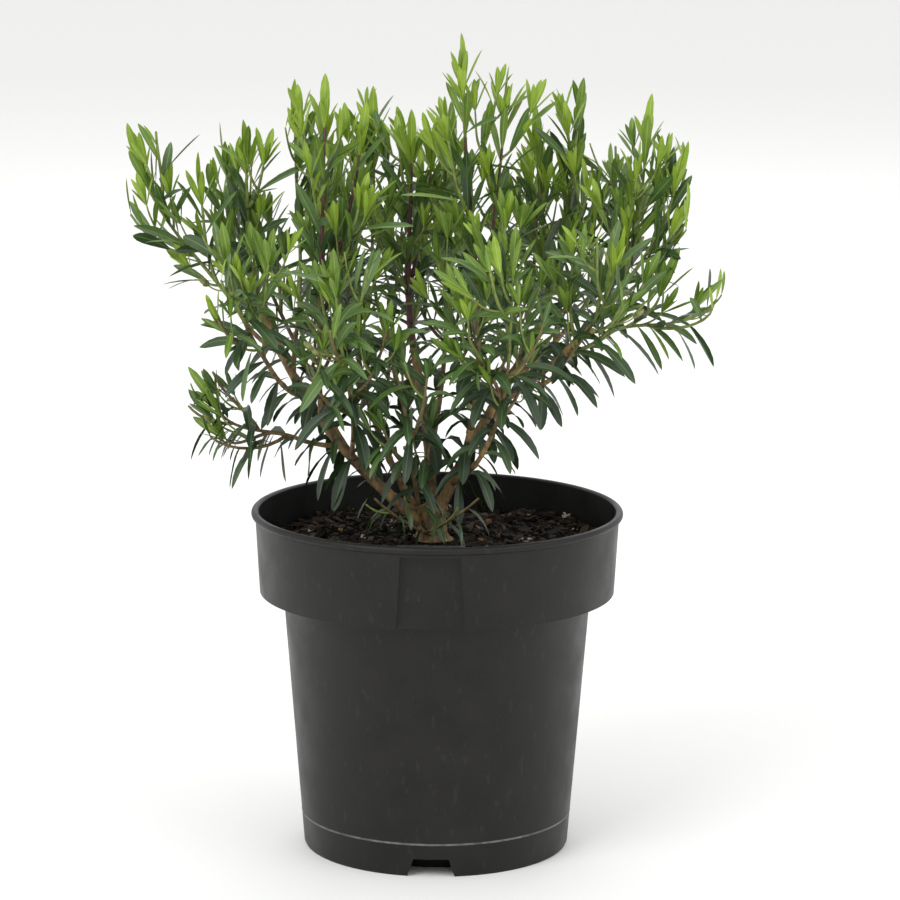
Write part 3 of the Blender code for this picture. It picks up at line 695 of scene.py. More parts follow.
def mix_height(x, y):
    """The lumpy top of the mix, level round the trunk."""
    from_axis = math.hypot(x, y)
    share = min(1.0, from_axis / MIX_RADIUS)
    coarse = noise.noise(Vector((x, y, MIX_LUMP_LAYER)) * MIX_LUMP_SCALE)
    fine = noise.noise(Vector((x, y, MIX_GRAIN_LAYER)) * MIX_GRAIN_SCALE)
    calm = min(1.0, max(0.0, (from_axis - TRUNK_CLEAR_RADIUS) / TRUNK_CLEAR_RADIUS))
    lumps = MIX_LUMP * coarse + MIX_GRAIN * fine - MIX_SINK
    return MIX_TOP - MIX_EDGE_DROP * share + calm * lumps


print("mix radius:", round(MIX_RADIUS, 4))

# %% The plug of mix
MIX_RINGS = 30
MIX_STEPS = 120
TOP_MARGIN = 0.0001
MIX_DARK = (0.0065, 0.0048, 0.0038)
MIX_LIGHT = (0.022, 0.015, 0.010)

surface_line = [(MIX_RADIUS * ring / MIX_RINGS, MIX_TOP) for ring in range(MIX_RINGS + 1)]
wall_line = [
    (max(radius - MIX_CLEARANCE, 0.0), height + MIX_CLEARANCE)
    for radius, height in reversed(pot_inside()[:-1])
]
mix = turned("bark_mix", surface_line + wall_line, MIX_STEPS)
for point in mix.data.vertices:
    if point.co.z > MIX_TOP - TOP_MARGIN:
        point.co.z = mix_height(point.co.x, point.co.y)
shape_by(mix, "DIFFERENCE", recess_backing("recess_room", MIX_CLEARANCE))
mix.data.materials.clear()
mix.data.materials.append(finish(
    "damp_fines", MIX_DARK, MIX_LIGHT, scale=500.0, rough=(0.8, 1.0), grain=1400.0, depth=0.0008,
    shine=0.1))
mix.data.shade_smooth()
show(mix, ["potting_mix"])
print("faces of the mix:", len(mix.data.polygons))

# %% The shape of a chip
CHIP_SIDES = 6
CHIP_BREADTH = (0.32, 0.75)
CHIP_THICKNESS = (0.12, 0.30)
CHIP_THICKEST = 0.0022
CHIP_BEND = 0.25
CHIP_TILTS = (0.30, 0.26)


def chip(chance, place, length):
    """A bent splinter of bark with an uneven outline."""
    width = length * chance.uniform(*CHIP_BREADTH)
    thick = min(CHIP_THICKEST, length * chance.uniform(*CHIP_THICKNESS))
    bend = chance.uniform(-CHIP_BEND, CHIP_BEND) * length
    turn = Matrix.Rotation(chance.uniform(0.0, math.tau), 3, "Z")
    roll = Matrix.Rotation(chance.gauss(0.0, CHIP_TILTS[0]), 3, "X")
    tilt = roll @ Matrix.Rotation(chance.gauss(0.0, CHIP_TILTS[1]), 3, "Y")
    corners = []
    for side in (-0.5, 0.5):
        for step in range(CHIP_SIDES):
            angle = (step + chance.uniform(-0.25, 0.25)) * math.tau / CHIP_SIDES
            x = 0.5 * length * math.cos(angle) * chance.uniform(0.75, 1.0)
            y = 0.5 * width * math.sin(angle) * chance.uniform(0.70, 1.0)
            z = side * thick * chance.uniform(0.7, 1.2) + bend * (2.0 * x / length) ** 2 * 0.4
            corners.append(place + turn @ (tilt @ Vector((x, y, z))))
    ring = range(CHIP_SIDES)
    faces = [tuple(reversed(ring)), tuple(index + CHIP_SIDES for index in ring)]
    for step in ring:
        after = (step + 1) % CHIP_SIDES
        faces.append((step, after, after + CHIP_SIDES, step + CHIP_SIDES))
    return corners, faces


print("faces of a chip:", CHIP_SIDES + 2)

# %% [markdown]
# The chips are strewn in three layers: a few large ones, then many middling and small ones,
# which lie higher because they fall between and on the others. Each colour has two tones and a
# share of all chips.

# %% Strew the chips
CHIP_COLOURS = {
    "chips_black": ((0.006, 0.0045, 0.0035), (0.016, 0.012, 0.009), 0.56),
    "chips_brown": ((0.014, 0.009, 0.006), (0.040, 0.024, 0.014), 0.30),
    "chips_grey": ((0.030, 0.025, 0.020), (0.085, 0.070, 0.056), 0.10),
    "chips_tan": ((0.090, 0.048, 0.020), (0.28, 0.17, 0.075), 0.025),
    "chips_pale": ((0.26, 0.23, 0.17), (0.52, 0.48, 0.40), 0.015),
}
ChipLayer = namedtuple("ChipLayer", "count shortest longest lift")
CHIP_LAYERS = (
    ChipLayer(620, 0.0065, 0.0135, 0.0016),
    ChipLayer(1500, 0.0030, 0.0065, 0.0024),
    ChipLayer(2300, 0.0012, 0.0030, 0.0030),
)
CHIP_ROOM = 0.55
STOOL_SHARE = 0.75


def in_recess_wall(x, y, reach):
    """Whether a chip of that reach would meet the wall behind the label recess."""
    near = -y > RECESS_PLANE - WALL - reach
    return near and abs(x) < 0.5 * RECESS_FOOT_WIDTH + WALL + reach


chance = random.Random("bark chips")
chip_heaps = {name: Heap() for name in CHIP_COLOURS}
chip_names = list(CHIP_COLOURS)
chip_shares = [CHIP_COLOURS[name][2] for name in chip_names]
for count, shortest, longest, lift in CHIP_LAYERS:
    for _ in range(count):
        length = chance.uniform(shortest, longest)
        room = MIX_RADIUS - CHIP_ROOM * length
        from_axis = room * math.sqrt(chance.random())
        angle = chance.uniform(0.0, math.tau)
        if from_axis < TRUNK_CLEAR_RADIUS * STOOL_SHARE + 0.5 * length:
            continue
        x, y = from_axis * math.cos(angle), from_axis * math.sin(angle)
        if in_recess_wall(x, y, CHIP_ROOM * length):
            continue
        place = Vector((x, y, mix_height(x, y) + chance.uniform(0.0, lift)))
        name = chance.choices(chip_names, chip_shares)[0]
        chip_heaps[name].add(*chip(chance, place, length))
for name, (dark, light, _) in CHIP_COLOURS.items():
    chip_finish = finish(
        name + "_finish", dark, light, scale=420.0, rough=(0.75, 0.95), grain=1500.0,
        depth=0.0003, shine=0.15)
    chip_heaps[name].piece(name, [chip_finish], "bark_mix", smooth=False)

# %% [markdown]
# ## The trunk and its boughs
#
# The shrub branches from a short stool, cut back once in its life. Five limbs leave it at
# different heights, and the others branch from those. The routes are the same quadratic curves
# that the solids follow: a straight line from parent to tip, drawn aside by a bend. A tube of
# many rings follows each one. Its radius swells where it leaves the parent, wanders with the
# bark's ridges, and has knots here and there, as old leaf scars give, so that the relief is in
# the mesh and not only in the finish. A curve with a bevel would be quicker to make, but smooth.

# %% Limbs of the shrub
Limb = namedtuple("Limb", "name parent along bend tip base_radius tip_radius")
LIMBS = [
    Limb("bough_left", "trunk", 0.50,
         (-0.012, -0.004, -0.016), (-0.085, 0.008, 0.262), 0.0030, 0.0018),
    Limb("bough_right", "trunk", 0.62,
         (-0.008, -0.012, -0.006), (0.042, 0.006, 0.244), 0.0031, 0.0018),
    Limb("bough_centre", "trunk", 0.85,
         (0.003, 0.004, 0.000), (-0.012, 0.012, 0.246), 0.0025, 0.0019),
    Limb("bough_front", "trunk", 0.35,
         (-0.002, -0.004, -0.003), (-0.009, -0.019, 0.174), 0.0013, 0.0011),
    Limb("bough_back_left", "trunk", 0.45,
         (-0.002, 0.006, -0.006), (-0.026, 0.030, 0.192), 0.0020, 0.0016),
    Limb("bough_left_low", "bough_left", 0.47,
         (0.0, -0.001, -0.003), (-0.070, -0.008, 0.205), 0.0012, 0.0010),
    Limb("bough_left_upright", "bough_left", 0.57,
         (-0.001, -0.002, -0.002), (-0.057, -0.011, 0.225), 0.0015, 0.0013),
    Limb("bough_left_front", "bough_left", 0.68,
         (-0.002, -0.006, -0.005), (-0.081, -0.030, 0.244), 0.0013, 0.0011),
    Limb("bough_left_inner", "bough_left", 0.78,
         (-0.001, 0.004, -0.004), (-0.069, 0.020, 0.258), 0.0012, 0.0010),
    Limb("bough_left_outer", "bough_left", 0.86,
         (-0.003, -0.002, -0.004), (-0.097, -0.002, 0.266), 0.0012, 0.0010),
    Limb("bough_left_back", "bough_left", 0.33,
         (-0.002, 0.007, -0.008), (-0.060, 0.042, 0.219), 0.0016, 0.0012),
    Limb("bough_front_left", "bough_left", 0.40,
         (-0.001, -0.003, -0.002), (-0.041, -0.017, 0.205), 0.0013, 0.0011),
    Limb("bough_right_inner", "bough_right", 0.38,
         (0.000, -0.003, -0.002), (0.016, -0.017, 0.211), 0.0017, 0.0015),
    Limb("bough_right_back", "bough_right", 0.46,
         (0.002, 0.006, -0.006), (0.036, 0.038, 0.225), 0.0017, 0.0013),
    Limb("bough_right_outer", "bough_right", 0.74,
         (0.000, -0.006, -0.008), (0.078, -0.012, 0.267), 0.0018, 0.0012),
    Limb("bough_right_far_back", "bough_right", 0.86,
         (0.002, 0.006, -0.005), (0.068, 0.034, 0.258), 0.0014, 0.0011),
    Limb("bough_right_front", "bough_right_outer", 0.30,
         (0.002, -0.008, -0.006), (0.060, -0.042, 0.248), 0.0013, 0.0010),
    Limb("bough_right_low", "bough_right_outer", 0.66,
         (0.0, -0.001, -0.004), (0.083, -0.016, 0.2585), 0.0011, 0.0009),
    Limb("bough_front_right", "bough_right", 0.28,
         (0.002, -0.008, -0.006), (0.026, -0.046, 0.214), 0.0014, 0.0011),
    Limb("bough_back", "bough_centre", 0.34,
         (0.000, 0.007, -0.006), (0.001, 0.042, 0.216), 0.0016, 0.0013),
    Limb("bough_centre_back", "bough_centre", 0.74,
         (-0.002, 0.006, -0.005), (-0.025, 0.036, 0.246), 0.0013, 0.0010),
]

print("limbs that branch:", len(LIMBS))

# %% Routes of the limbs
GAP = 0.0003
TRUNK_FOOT = Vector((-0.0025, 0.0, MIX_TOP + GAP))
TRUNK_FORK = Vector((-0.0020, 0.0010, 0.1690))
TRUNK_RADIUS = 0.0062
FLARE_EXTRA = 0.0036
FLARE_HEIGHT = 0.0040
TRUNK_CROWDING = 1.5


def bend_point(start, control, end, share):
    """A point of the quadratic curve from start to end, drawn towards its control."""
    rest = 1.0 - share
    return start * (rest * rest) + control * (2.0 * rest * share) + end * (share * share)


def limb_route(start, bend, tip, rings):
    control = 0.5 * (start + tip) + bend
    return [bend_point(start, control, tip, index / (rings - 1)) for index in range(rings)]


def point_along(route, share):
    """The point at a share of the way along a route, and the heading there."""
    place = share * (len(route) - 1)
    index = min(int(place), len(route) - 2)
    heading = (route[index + 1] - route[index]).normalized()
    return route[index].lerp(route[index + 1], place - index), heading


def trunk_radius(height):
    """The trunk's radius, flared where the roots leave it."""
    return TRUNK_RADIUS + FLARE_EXTRA * math.exp((TRUNK_FOOT.z - height) / FLARE_HEIGHT)


def tapering(base, tip, count):
    return [base + (tip - base) * index / (count - 1) for index in range(count)]


def trunk_route(rings):
    """Points up the trunk, closer together at its foot, where it flares."""
    shares = [(index / (rings - 1)) ** TRUNK_CROWDING for index in range(rings)]
    return [TRUNK_FOOT.lerp(TRUNK_FORK, share) for share in shares]


print("trunk radius at the foot:", round(trunk_radius(TRUNK_FOOT.z), 4))

# %% A tube with a relief
FOOT_POINT = 0.3
TIP_POINT = 0.6


def tube(points, radii, sides, relief=None):
    """Rings of corners along the points, closed to a low point at both ends."""
    corners = []
    side = (points[1] - points[0]).orthogonal().normalized()
    for index, (place, radius) in enumerate(zip(points, radii)):
        before = points[max(index - 1, 0)]
        after = points[min(index + 1, len(points) - 1)]
        heading = (after - before).normalized()
        side = (side - heading * side.dot(heading)).normalized()
        other = heading.cross(side)
        for step in range(sides):
            angle = step * math.tau / sides
            out = side * math.cos(angle) + other * math.sin(angle)
            reach = radius * (relief(place, out, radius) if relief else 1.0)
            corners.append(place + out * reach)
    faces = []
    for index in range(len(points) - 1):
        for step in range(sides):
            here = index * sides + step
            beside = index * sides + (step + 1) % sides
            faces.append((here, beside, beside + sides, here + sides))
    foot = len(corners)
    corners.append(points[0] - (points[1] - points[0]).normalized() * FOOT_POINT * radii[0])
    corners.append(points[-1] + (points[-1] - points[-2]).normalized() * TIP_POINT * radii[-1])
    last = (len(points) - 1) * sides
    for step in range(sides):
        beside = (step + 1) % sides
        faces.append((foot, beside, step))
        faces.append((foot + 1, last + step, last + beside))
    return corners, faces


print("faces of a small tube:", len(tube([UP * 0.0, UP], [1.0, 1.0], 6)[1]))

# %% The bark's relief
RIDGE_SCALE = 900.0
RIDGE_DEPTH = 0.13
RIDGE_DRAWN_OUT = 0.35
KNOT_SCALE = 210.0
KNOT_DEPTH = 0.20
KNOT_START = 0.12
KNOT_PLACES = Vector((3.1, 7.7, 1.3))


def bark_relief(place, out, radius):
    """How far the bark stands out: fine ridges drawn out upward, and knots here and there."""
    at = place + out * radius
    ridges = noise.noise(Vector((at.x, at.y, at.z * RIDGE_DRAWN_OUT)) * RIDGE_SCALE)
    knots = max(0.0, noise.noise(at * KNOT_SCALE + KNOT_PLACES) - KNOT_START)
    return 1.0 + RIDGE_DEPTH * ridges + KNOT_DEPTH * knots * 2.0


print("relief of the bark, about:", RIDGE_DEPTH, "of the radius")

# %% Grow the limbs
TRUNK_RINGS = 7
TRUNK_FINE_RINGS = 26
TRUNK_SIDES = 40
LIMB_RINGS = 5
LIMB_FEWEST_RINGS = 12
LIMB_RING_SPACING = 0.0011
LIMB_SIDES = 16
COLLAR_SWELL = 0.45
COLLAR_LENGTH = 0.006


def limb_radii(limb, route):
    """A taper that swells where the limb leaves its parent."""
    length = (route[-1] - route[0]).length
    radii = []
    for index, radius in enumerate(tapering(limb.base_radius, limb.tip_radius, len(route))):
        from_base = length * index / (len(route) - 1)
        radii.append(radius * (1.0 + COLLAR_SWELL * math.exp(-from_base / COLLAR_LENGTH)))
    return radii


trunk_line = trunk_route(TRUNK_FINE_RINGS)
trunk_radii = [trunk_radius(place.z) for place in trunk_line]
bark_heap = Heap()
bark_heap.add(*tube(trunk_line, trunk_radii, TRUNK_SIDES, bark_relief))
ROUTES = {"trunk": trunk_route(TRUNK_RINGS)}
ROUTES["trunk"][1].xy = TRUNK_FOOT.xy
limb_samples = []
for limb in LIMBS:
    start, _ = point_along(ROUTES[limb.parent], limb.along)
    bend, tip = Vector(limb.bend), Vector(limb.tip)
    ROUTES[limb.name] = limb_route(start, bend, tip, LIMB_RINGS)
    rings = max(LIMB_FEWEST_RINGS, round((tip - start).length / LIMB_RING_SPACING))
    fine = limb_route(start, bend, tip, rings)
    radii = limb_radii(limb, fine)
    limb_samples += [(*place, radius) for place, radius in zip(fine[::2], radii[::2])]
    bark_heap.add(*tube(fine, radii, LIMB_SIDES, bark_relief))
print("limbs with the trunk:", len(ROUTES))

# %% [markdown]
# Young bark is brown with tan and golden places where it flakes. Two mottles lie over each
# other: a fine one between brown and tan, drawn out upward as the stems are, and a coarse one
# that lets the gold through.

# %% The bark's finish
BARK_DARK = (0.095, 0.060, 0.028)
BARK_LIGHT = (0.300, 0.205, 0.098)
BARK_GOLD = (0.46, 0.29, 0.085)
brown_bark = finish(
    "flaking_bark", BARK_DARK, BARK_LIGHT, scale=420.0, rough=(0.65, 0.9), grain=1300.0,
    depth=0.0004, stretch=(1.0, 1.0, 0.4))
bark = scuffed(
    brown_bark, BARK_GOLD, scale=150.0, start=0.55, most=0.6, stretch=(1.0, 1.0, 0.6))
bark_heap.piece("barked_stems", [bark], "bark", ["trunk"] + [limb.name for limb in LIMBS])

# %% [markdown]
# ## Where the foliage may grow
#
# Each mass of foliage grows from the tip of one limb towards one or two named places: its
# leaders end there. Its own space is all that lies nearer to its leaders than to any others. Side
# shoots keep to that space, so the crown keeps the clefts that the real one has. Twigs and leaves
# may cross a cleft, as real ones do. They never rise more than a small margin above the mass's
# highest tip, or reach further past its furthest one, and leaves touch no limb, mix or pot.

# %% Masses of foliage
Mass = namedtuple("Mass", "name limb tips sprays")
MASSES = [
    Mass("foliage_left_outer", "bough_left_outer",
         [(-0.1487, 0.000, 0.3553), (-0.1155, -0.014, 0.3426)], 3),
    Mass("foliage_left", "bough_left",
         [(-0.0948, 0.012, 0.3553), (-0.1070, 0.030, 0.3520)], 3),
    Mass("foliage_left_inner", "bough_left_inner",
         [(-0.0701, 0.016, 0.3753)], 4),
    Mass("foliage_left_upright", "bough_left_upright",
         [(-0.0541, -0.026, 0.3829), (-0.0353, -0.014, 0.3680)], 5),
    Mass("foliage_left_low", "bough_left_low",
         [(-0.1170, -0.016, 0.2400), (-0.1180, -0.018, 0.2230)], 3),
    Mass("foliage_left_front", "bough_left_front",
         [(-0.1000, -0.074, 0.3180)], 5),
    Mass("foliage_left_back", "bough_left_back",
         [(-0.1040, 0.076, 0.3320)], 5),
    Mass("foliage_front_left", "bough_front_left",
         [(-0.0480, -0.086, 0.3080)], 6),
    Mass("foliage_front", "bough_front",
         [(-0.0179, -0.052, 0.2667)], 4),
    Mass("foliage_front_right", "bough_front_right",
         [(0.0360, -0.094, 0.3200), (0.0060, -0.090, 0.3020)], 5),
    Mass("foliage_top", "bough_right_inner",
         [(0.0112, -0.014, 0.4017), (0.0325, -0.014, 0.3856)], 6),
    Mass("foliage_right", "bough_right",
         [(0.0694, 0.006, 0.3779), (0.0470, 0.012, 0.3640)], 4),
    Mass("foliage_right_outer", "bough_right_outer",
         [(0.1186, -0.012, 0.3490), (0.1020, 0.000, 0.3704)], 4),
    Mass("foliage_right_low", "bough_right_low",
         [(0.1348, -0.020, 0.2910), (0.1130, -0.028, 0.3000)], 3),
    Mass("foliage_right_front", "bough_right_front",
         [(0.0860, -0.078, 0.3180)], 5),
    Mass("foliage_right_far_back", "bough_right_far_back",
         [(0.1000, 0.068, 0.3400)], 5),
    Mass("foliage_right_back", "bough_right_back",
         [(0.0520, 0.098, 0.3450)], 6),
    Mass("foliage_back", "bough_back",
         [(0.0030, 0.108, 0.3400), (0.0060, 0.060, 0.3600)], 5),
    Mass("foliage_back_left", "bough_back_left",
         [(-0.0520, 0.096, 0.3430)], 6),
    Mass("foliage_centre_back", "bough_centre_back",
         [(-0.0330, 0.044, 0.3690)], 4),
    Mass("foliage_centre", "bough_centre",
         [(-0.0135, 0.012, 0.3610), (-0.0020, 0.024, 0.3560)], 4),
    Mass("foliage_foot", "trunk",
         [(-0.0300, -0.034, 0.1800), (0.0200, -0.032, 0.1800)], 0),
]
print("masses:", len(MASSES))

# %% [markdown]
# A leader is a smooth cubic curve: it sets out along its bough and arrives rising, as shoots
# turn to the light. The curve ends short of the named place by one leaf, because there the
# place is the tip of the leader's last leaf.

# %% A smooth shoot
SHOOT_RINGS = 15


def shoot_route(start, heading, tip, arrive, count=SHOOT_RINGS):
    """A smooth shoot that leaves along one heading and ends along another."""
    third = (tip - start).length / 3.0
    leave = start + heading * third
    reach = tip - arrive * third
    route = []
    for index in range(count):
        share = index / (count - 1)
        low = bend_point(start, leave, reach, share)
        high = bend_point(leave, reach, tip, share)
        route.append(low.lerp(high, share))
    return route


def rising(direction, lift):
    """The direction turned towards the light."""
    return (direction.normalized() + UP * lift).normalized()


print("rings of a shoot:", SHOOT_RINGS)

# %% Leaders: the main shoots of each mass
TIP_LEAF = 0.024
STUB_PLACE = 0.42
FOOT_FORK = 0.3
FOOT_LIFT = 0.3
STEM_LIFT = 0.9
LEADER_LIFT = 0.7
FIRST_FORK = 0.22
NEXT_FORK = 0.16


def foot_leaders(mass, trunk):
    """Two short shoots from one stub on the trunk's front."""
    base, _ = point_along(trunk, STUB_PLACE)
    front = Vector((0.0, -1.0, 0.0))
    stub = base + front * TRUNK_RADIUS
    tip = Vector(mass.tips[0])
    stem = shoot_route(stub, front, tip, rising(tip - stub, FOOT_LIFT))
    fork, _ = point_along(stem, FOOT_FORK)
    side = Vector(mass.tips[1])
    return [stem, shoot_route(fork, front, side, rising(side - fork, FOOT_LIFT))]


def leaders_of(mass, routes):
    """The mass's stem up to its first tip, and the leaders that branch to the others."""
    bough = routes[mass.limb]
    if mass.limb == "trunk":
        return foot_leaders(mass, bough)
    heading = (bough[-1] - bough[-2]).normalized()
    start = bough[-1] - heading * GAP
    tip = Vector(mass.tips[0])
    arrive = rising(tip - start, STEM_LIFT)
    stem = shoot_route(start, heading, tip - arrive * TIP_LEAF, arrive)
    leaders = [stem]
    for number, place in enumerate(mass.tips[1:]):
        fork, along = point_along(stem, FIRST_FORK + NEXT_FORK * number)
        tip = Vector(place)
        arrive = rising(tip - fork, LEADER_LIFT)
        leave = (along + (tip - fork).normalized()).normalized()
        leaders.append(shoot_route(fork, leave, tip - arrive * TIP_LEAF, arrive))
    return leaders


LEADERS = [leaders_of(mass, ROUTES) for mass in MASSES]
print("leaders:", sum(len(group) for group in LEADERS))

# %% The space of each mass
SPACE_MARGIN = 0.0010
REACH_MARGIN = 0.0030
INNER_REACH = 0.0750
SPACE_SAMPLES = 16
ABOVE_MIX = 0.0010
ABOVE_RIM = 0.001
OFF_WALL = 0.0030


class Spaces:
    """Tells whether points keep to a mass's space and reach, clear of pot, mix and limbs."""

    def __init__(self, leaders, limbs):
        samples = []
        owners = []
        for index, group in enumerate(leaders):
            for route in group:
                for step in range(SPACE_SAMPLES + 1):
                    samples.append(point_along(route, step / SPACE_SAMPLES)[0])
                    owners.append(index)
        self.samples = np.array(samples)
        self.owners = np.array(owners)
        self.limbs = np.array(limbs)
        self.tops = [max(tip[2] for tip in mass.tips) for mass in MASSES]
        self.reaches = [
            max(INNER_REACH, REACH_MARGIN + max(math.hypot(tip[0], tip[1]) for tip in mass.tips))
            for mass in MASSES
        ]

    def reaches_out(self, places, owner):
        heights = places[:, 2]
        from_axis = np.hypot(places[:, 0], places[:, 1])
        in_mix = heights < MIX_TOP + ABOVE_MIX
        beside_wall = from_axis > COLLAR_TOP_RADIUS - OFF_WALL
        in_wall = (heights < RIM_HEIGHT + ABOVE_RIM) & beside_wall
        too_high = heights > self.tops[owner] + REACH_MARGIN
        too_far = from_axis > self.reaches[owner]
        return np.any(in_mix | in_wall | too_high | too_far)

    def meets_limbs(self, places):
        apart = np.linalg.norm(places[:, None, :] - self.limbs[None, :, :3], axis=2)
        return np.any(apart < self.limbs[None, :, 3] + GAP)

    def holds(self, points, owner):
        places = np.array(points)
        if self.reaches_out(places, owner):
            return False
        apart = np.linalg.norm(places[:, None, :] - self.samples[None, :, :], axis=2)
        own = apart[:, self.owners == owner].min(axis=1)
        other = apart[:, self.owners != owner].min(axis=1)
        return not np.any(own + SPACE_MARGIN > other)

    def suits_leaf(self, points, owner):
        places = np.array(points)
        return not (self.reaches_out(places, owner) or self.meets_limbs(places))


SPACES = Spaces(LEADERS, limb_samples)
print("limb samples:", len(limb_samples))

# %% [markdown]
# ## Shoots, from leaders down to twigs
#
# Side shoots leave the stem of each mass at golden-angle steps and bend up to the light, by the
# rule that the solids were grown by. Short twigs then leave stems, leaders and side shoots alike
# by the same rule, which is what makes the crown fine and full. A seed with the shoot's own name
# keeps every run the same.

# %% Side shoots
Shoot = namedtuple("Shoot", "name owner route base_radius order")
SPRAY_RADIUS = 0.0010
SPRAY_LENGTH = 0.048
SPRAY_SHORTENING = 0.4
SPRAY_SPREAD = 0.62
SPRAY_LIFT = 0.8
SPRAY_FIRST = 0.10
SPRAY_RANGE = 0.66
SHORTER_TRIES = (1.0, 0.8, 0.6, 0.45)
SIDE_RINGS = 9


def side_route(chance, stem, share, number, length, spread, lift):
    """A side shoot at its golden-angle turn, for each shorter try."""
    fork, along = point_along(stem, share)
    across = along.orthogonal().normalized()
    across.rotate(Matrix.Rotation(number * GOLDEN_TURN + chance.uniform(-0.4, 0.4), 3, along))
    heading = (along + across * (2.0 * spread)).normalized()
    for shorter in SHORTER_TRIES:
        reach = (along + across * spread + UP * 0.35).normalized() * length * shorter
        yield shoot_route(fork, heading, fork + reach, rising(reach, lift), SIDE_RINGS)


def sprays_of(mass, owner, stem):
    """The side shoots of a mass's stem that keep to its space."""
    made = []
    for number in range(mass.sprays):
        name = f"{mass.name} spray {number}"
        chance = random.Random(name)
        share = SPRAY_FIRST + SPRAY_RANGE * number / max(mass.sprays - 1, 1)
        length = SPRAY_LENGTH * (1.12 - SPRAY_SHORTENING * share)
        for route in side_route(chance, stem, share, number, length, SPRAY_SPREAD, SPRAY_LIFT):
            if SPACES.holds(route[1:], owner):
                made.append(Shoot(name, owner, route, SPRAY_RADIUS, 1))
                break
    return made


print("side shoots asked for:", sum(mass.sprays for mass in MASSES))

# %% Twigs
TWIG_RADIUS = 0.0007
TWIG_SPACING = 0.0170
TWIG_LENGTH = 0.022
TWIG_SPREAD = 0.75
TWIG_LIFT = 0.7
TWIG_FIRST = 0.16
TWIG_LAST = 0.90


def length_of(route):
    return sum((end - start).length for start, end in zip(route, route[1:]))


def twigs_of(shoot):
    """Short twigs along a shoot, wherever they keep to its mass's reach."""
    made = []
    length = length_of(shoot.route)
    count = int(length * (TWIG_LAST - TWIG_FIRST) / TWIG_SPACING)
    for number in range(count):
        name = f"{shoot.name} twig {number}"
        chance = random.Random(name)
        share = TWIG_FIRST + (TWIG_LAST - TWIG_FIRST) * (number + chance.uniform(0.1, 0.9)) / count
        reach = TWIG_LENGTH * chance.uniform(0.55, 1.25)
        for route in side_route(
                chance, shoot.route, share, number + 1, reach, TWIG_SPREAD, TWIG_LIFT):
            if SPACES.suits_leaf(route[2:], shoot.owner):
                made.append(Shoot(name, shoot.owner, route, TWIG_RADIUS, 2))
                break
    return made


print("twigs on a shoot of 100 mm:", int(0.1 * (TWIG_LAST - TWIG_FIRST) / TWIG_SPACING))

# %% Grow all the shoots
shoots = []
bough_ends = {limb.name: limb.tip_radius for limb in LIMBS}
for owner, mass in enumerate(MASSES):
    stem_radius = bough_ends.get(mass.limb, SPRAY_RADIUS)
    main = [
        Shoot(f"{mass.name} leader {number}", owner, route, SPRAY_RADIUS if number else stem_radius, 0)
        for number, route in enumerate(LEADERS[owner])
    ]
    main += sprays_of(mass, owner, LEADERS[owner][0])
    shoots += main
    for shoot in main:
        shoots += twigs_of(shoot)
print("shoots:", len(shoots))

# %% [markdown]
# Shoots are brown low down, then green, and a few of the strongest upright ones are purple-red
# in their upper part. Each half of a leader, and each smaller shoot, is dealt one of three
# finishes by its height.

# %% Colours of the shoots
TWIG_COLOURS = {
    "twigs_brown": ((0.090, 0.060, 0.026), (0.190, 0.140, 0.055)),
    "twigs_green": ((0.110, 0.150, 0.030), (0.210, 0.270, 0.060)),
    "twigs_purple": ((0.060, 0.018, 0.022), (0.130, 0.045, 0.040)),
}
PURPLE_MASSES = {"foliage_left_upright", "foliage_top", "foliage_centre", "foliage_right_back"}
PURPLE_ABOVE = 0.27
WOODY_BELOW = 0.262


def twig_colour(shoot, place):
    strong = shoot.order == 0 and MASSES[shoot.owner].name in PURPLE_MASSES
    if strong and place.z > PURPLE_ABOVE:
        return "twigs_purple"
    if place.z < WOODY_BELOW and shoot.order < 2:
        return "twigs_brown"
    return "twigs_green"


print("colours of shoots:", ", ".join(TWIG_COLOURS))

# %% Shoot meshes
SHOOT_TIP_RADIUS = 0.0006
TWIG_TIP_RADIUS = 0.0004
LEADER_SIDES = 10
TWIG_SIDES = 7
SHOOT_RELIEF_DEPTH = 0.10
SHOOT_RELIEF_SCALE = 1100.0


def shoot_relief(place, out, radius):
    uneven = noise.noise((place + out * radius) * SHOOT_RELIEF_SCALE)
    return 1.0 + SHOOT_RELIEF_DEPTH * uneven


twig_heaps = {name: Heap() for name in TWIG_COLOURS}
for shoot in shoots:
    route = shoot.route
    tip_radius = SHOOT_TIP_RADIUS if shoot.order < 2 else TWIG_TIP_RADIUS
    radii = tapering(shoot.base_radius, tip_radius, len(route))
    sides = LEADER_SIDES if shoot.order == 0 else TWIG_SIDES
    parts = [(route, radii)]
    if shoot.order == 0:
        middle = len(route) // 2
        parts = [(route[:middle + 1], radii[:middle + 1]), (route[middle:], radii[middle:])]
    for part, part_radii in parts:
        colour = twig_colour(shoot, part[len(part) // 2])
        twig_heaps[colour].add(*tube(part, part_radii, sides, shoot_relief))
for name, (dark, light) in TWIG_COLOURS.items():
    twig_finish = finish(
        name + "_finish", dark, light, scale=300.0, rough=(0.45, 0.7), grain=1400.0, depth=0.0001)
    twig_heaps[name].piece(name, [twig_finish], "foliage")

# %% [markdown]
# ## Leaves
#
# An emu bush has lance-shaped leaves, pointed at both ends, with a paler midrib and a slight
# keel. Old ones low on the stems are dark and arch down. Young ones stand up in tight tufts at
# the shoot tips and are yellow-green. A flat card with a picture of a leaf would be quicker, but
# it has no fold and is empty at its corners. Here a leaf is three strips side by side in its own
# outline, the narrow middle strip being the midrib, which has a material slot of its own. Each
# row of corners follows a heading that turns down by the leaf's droop.

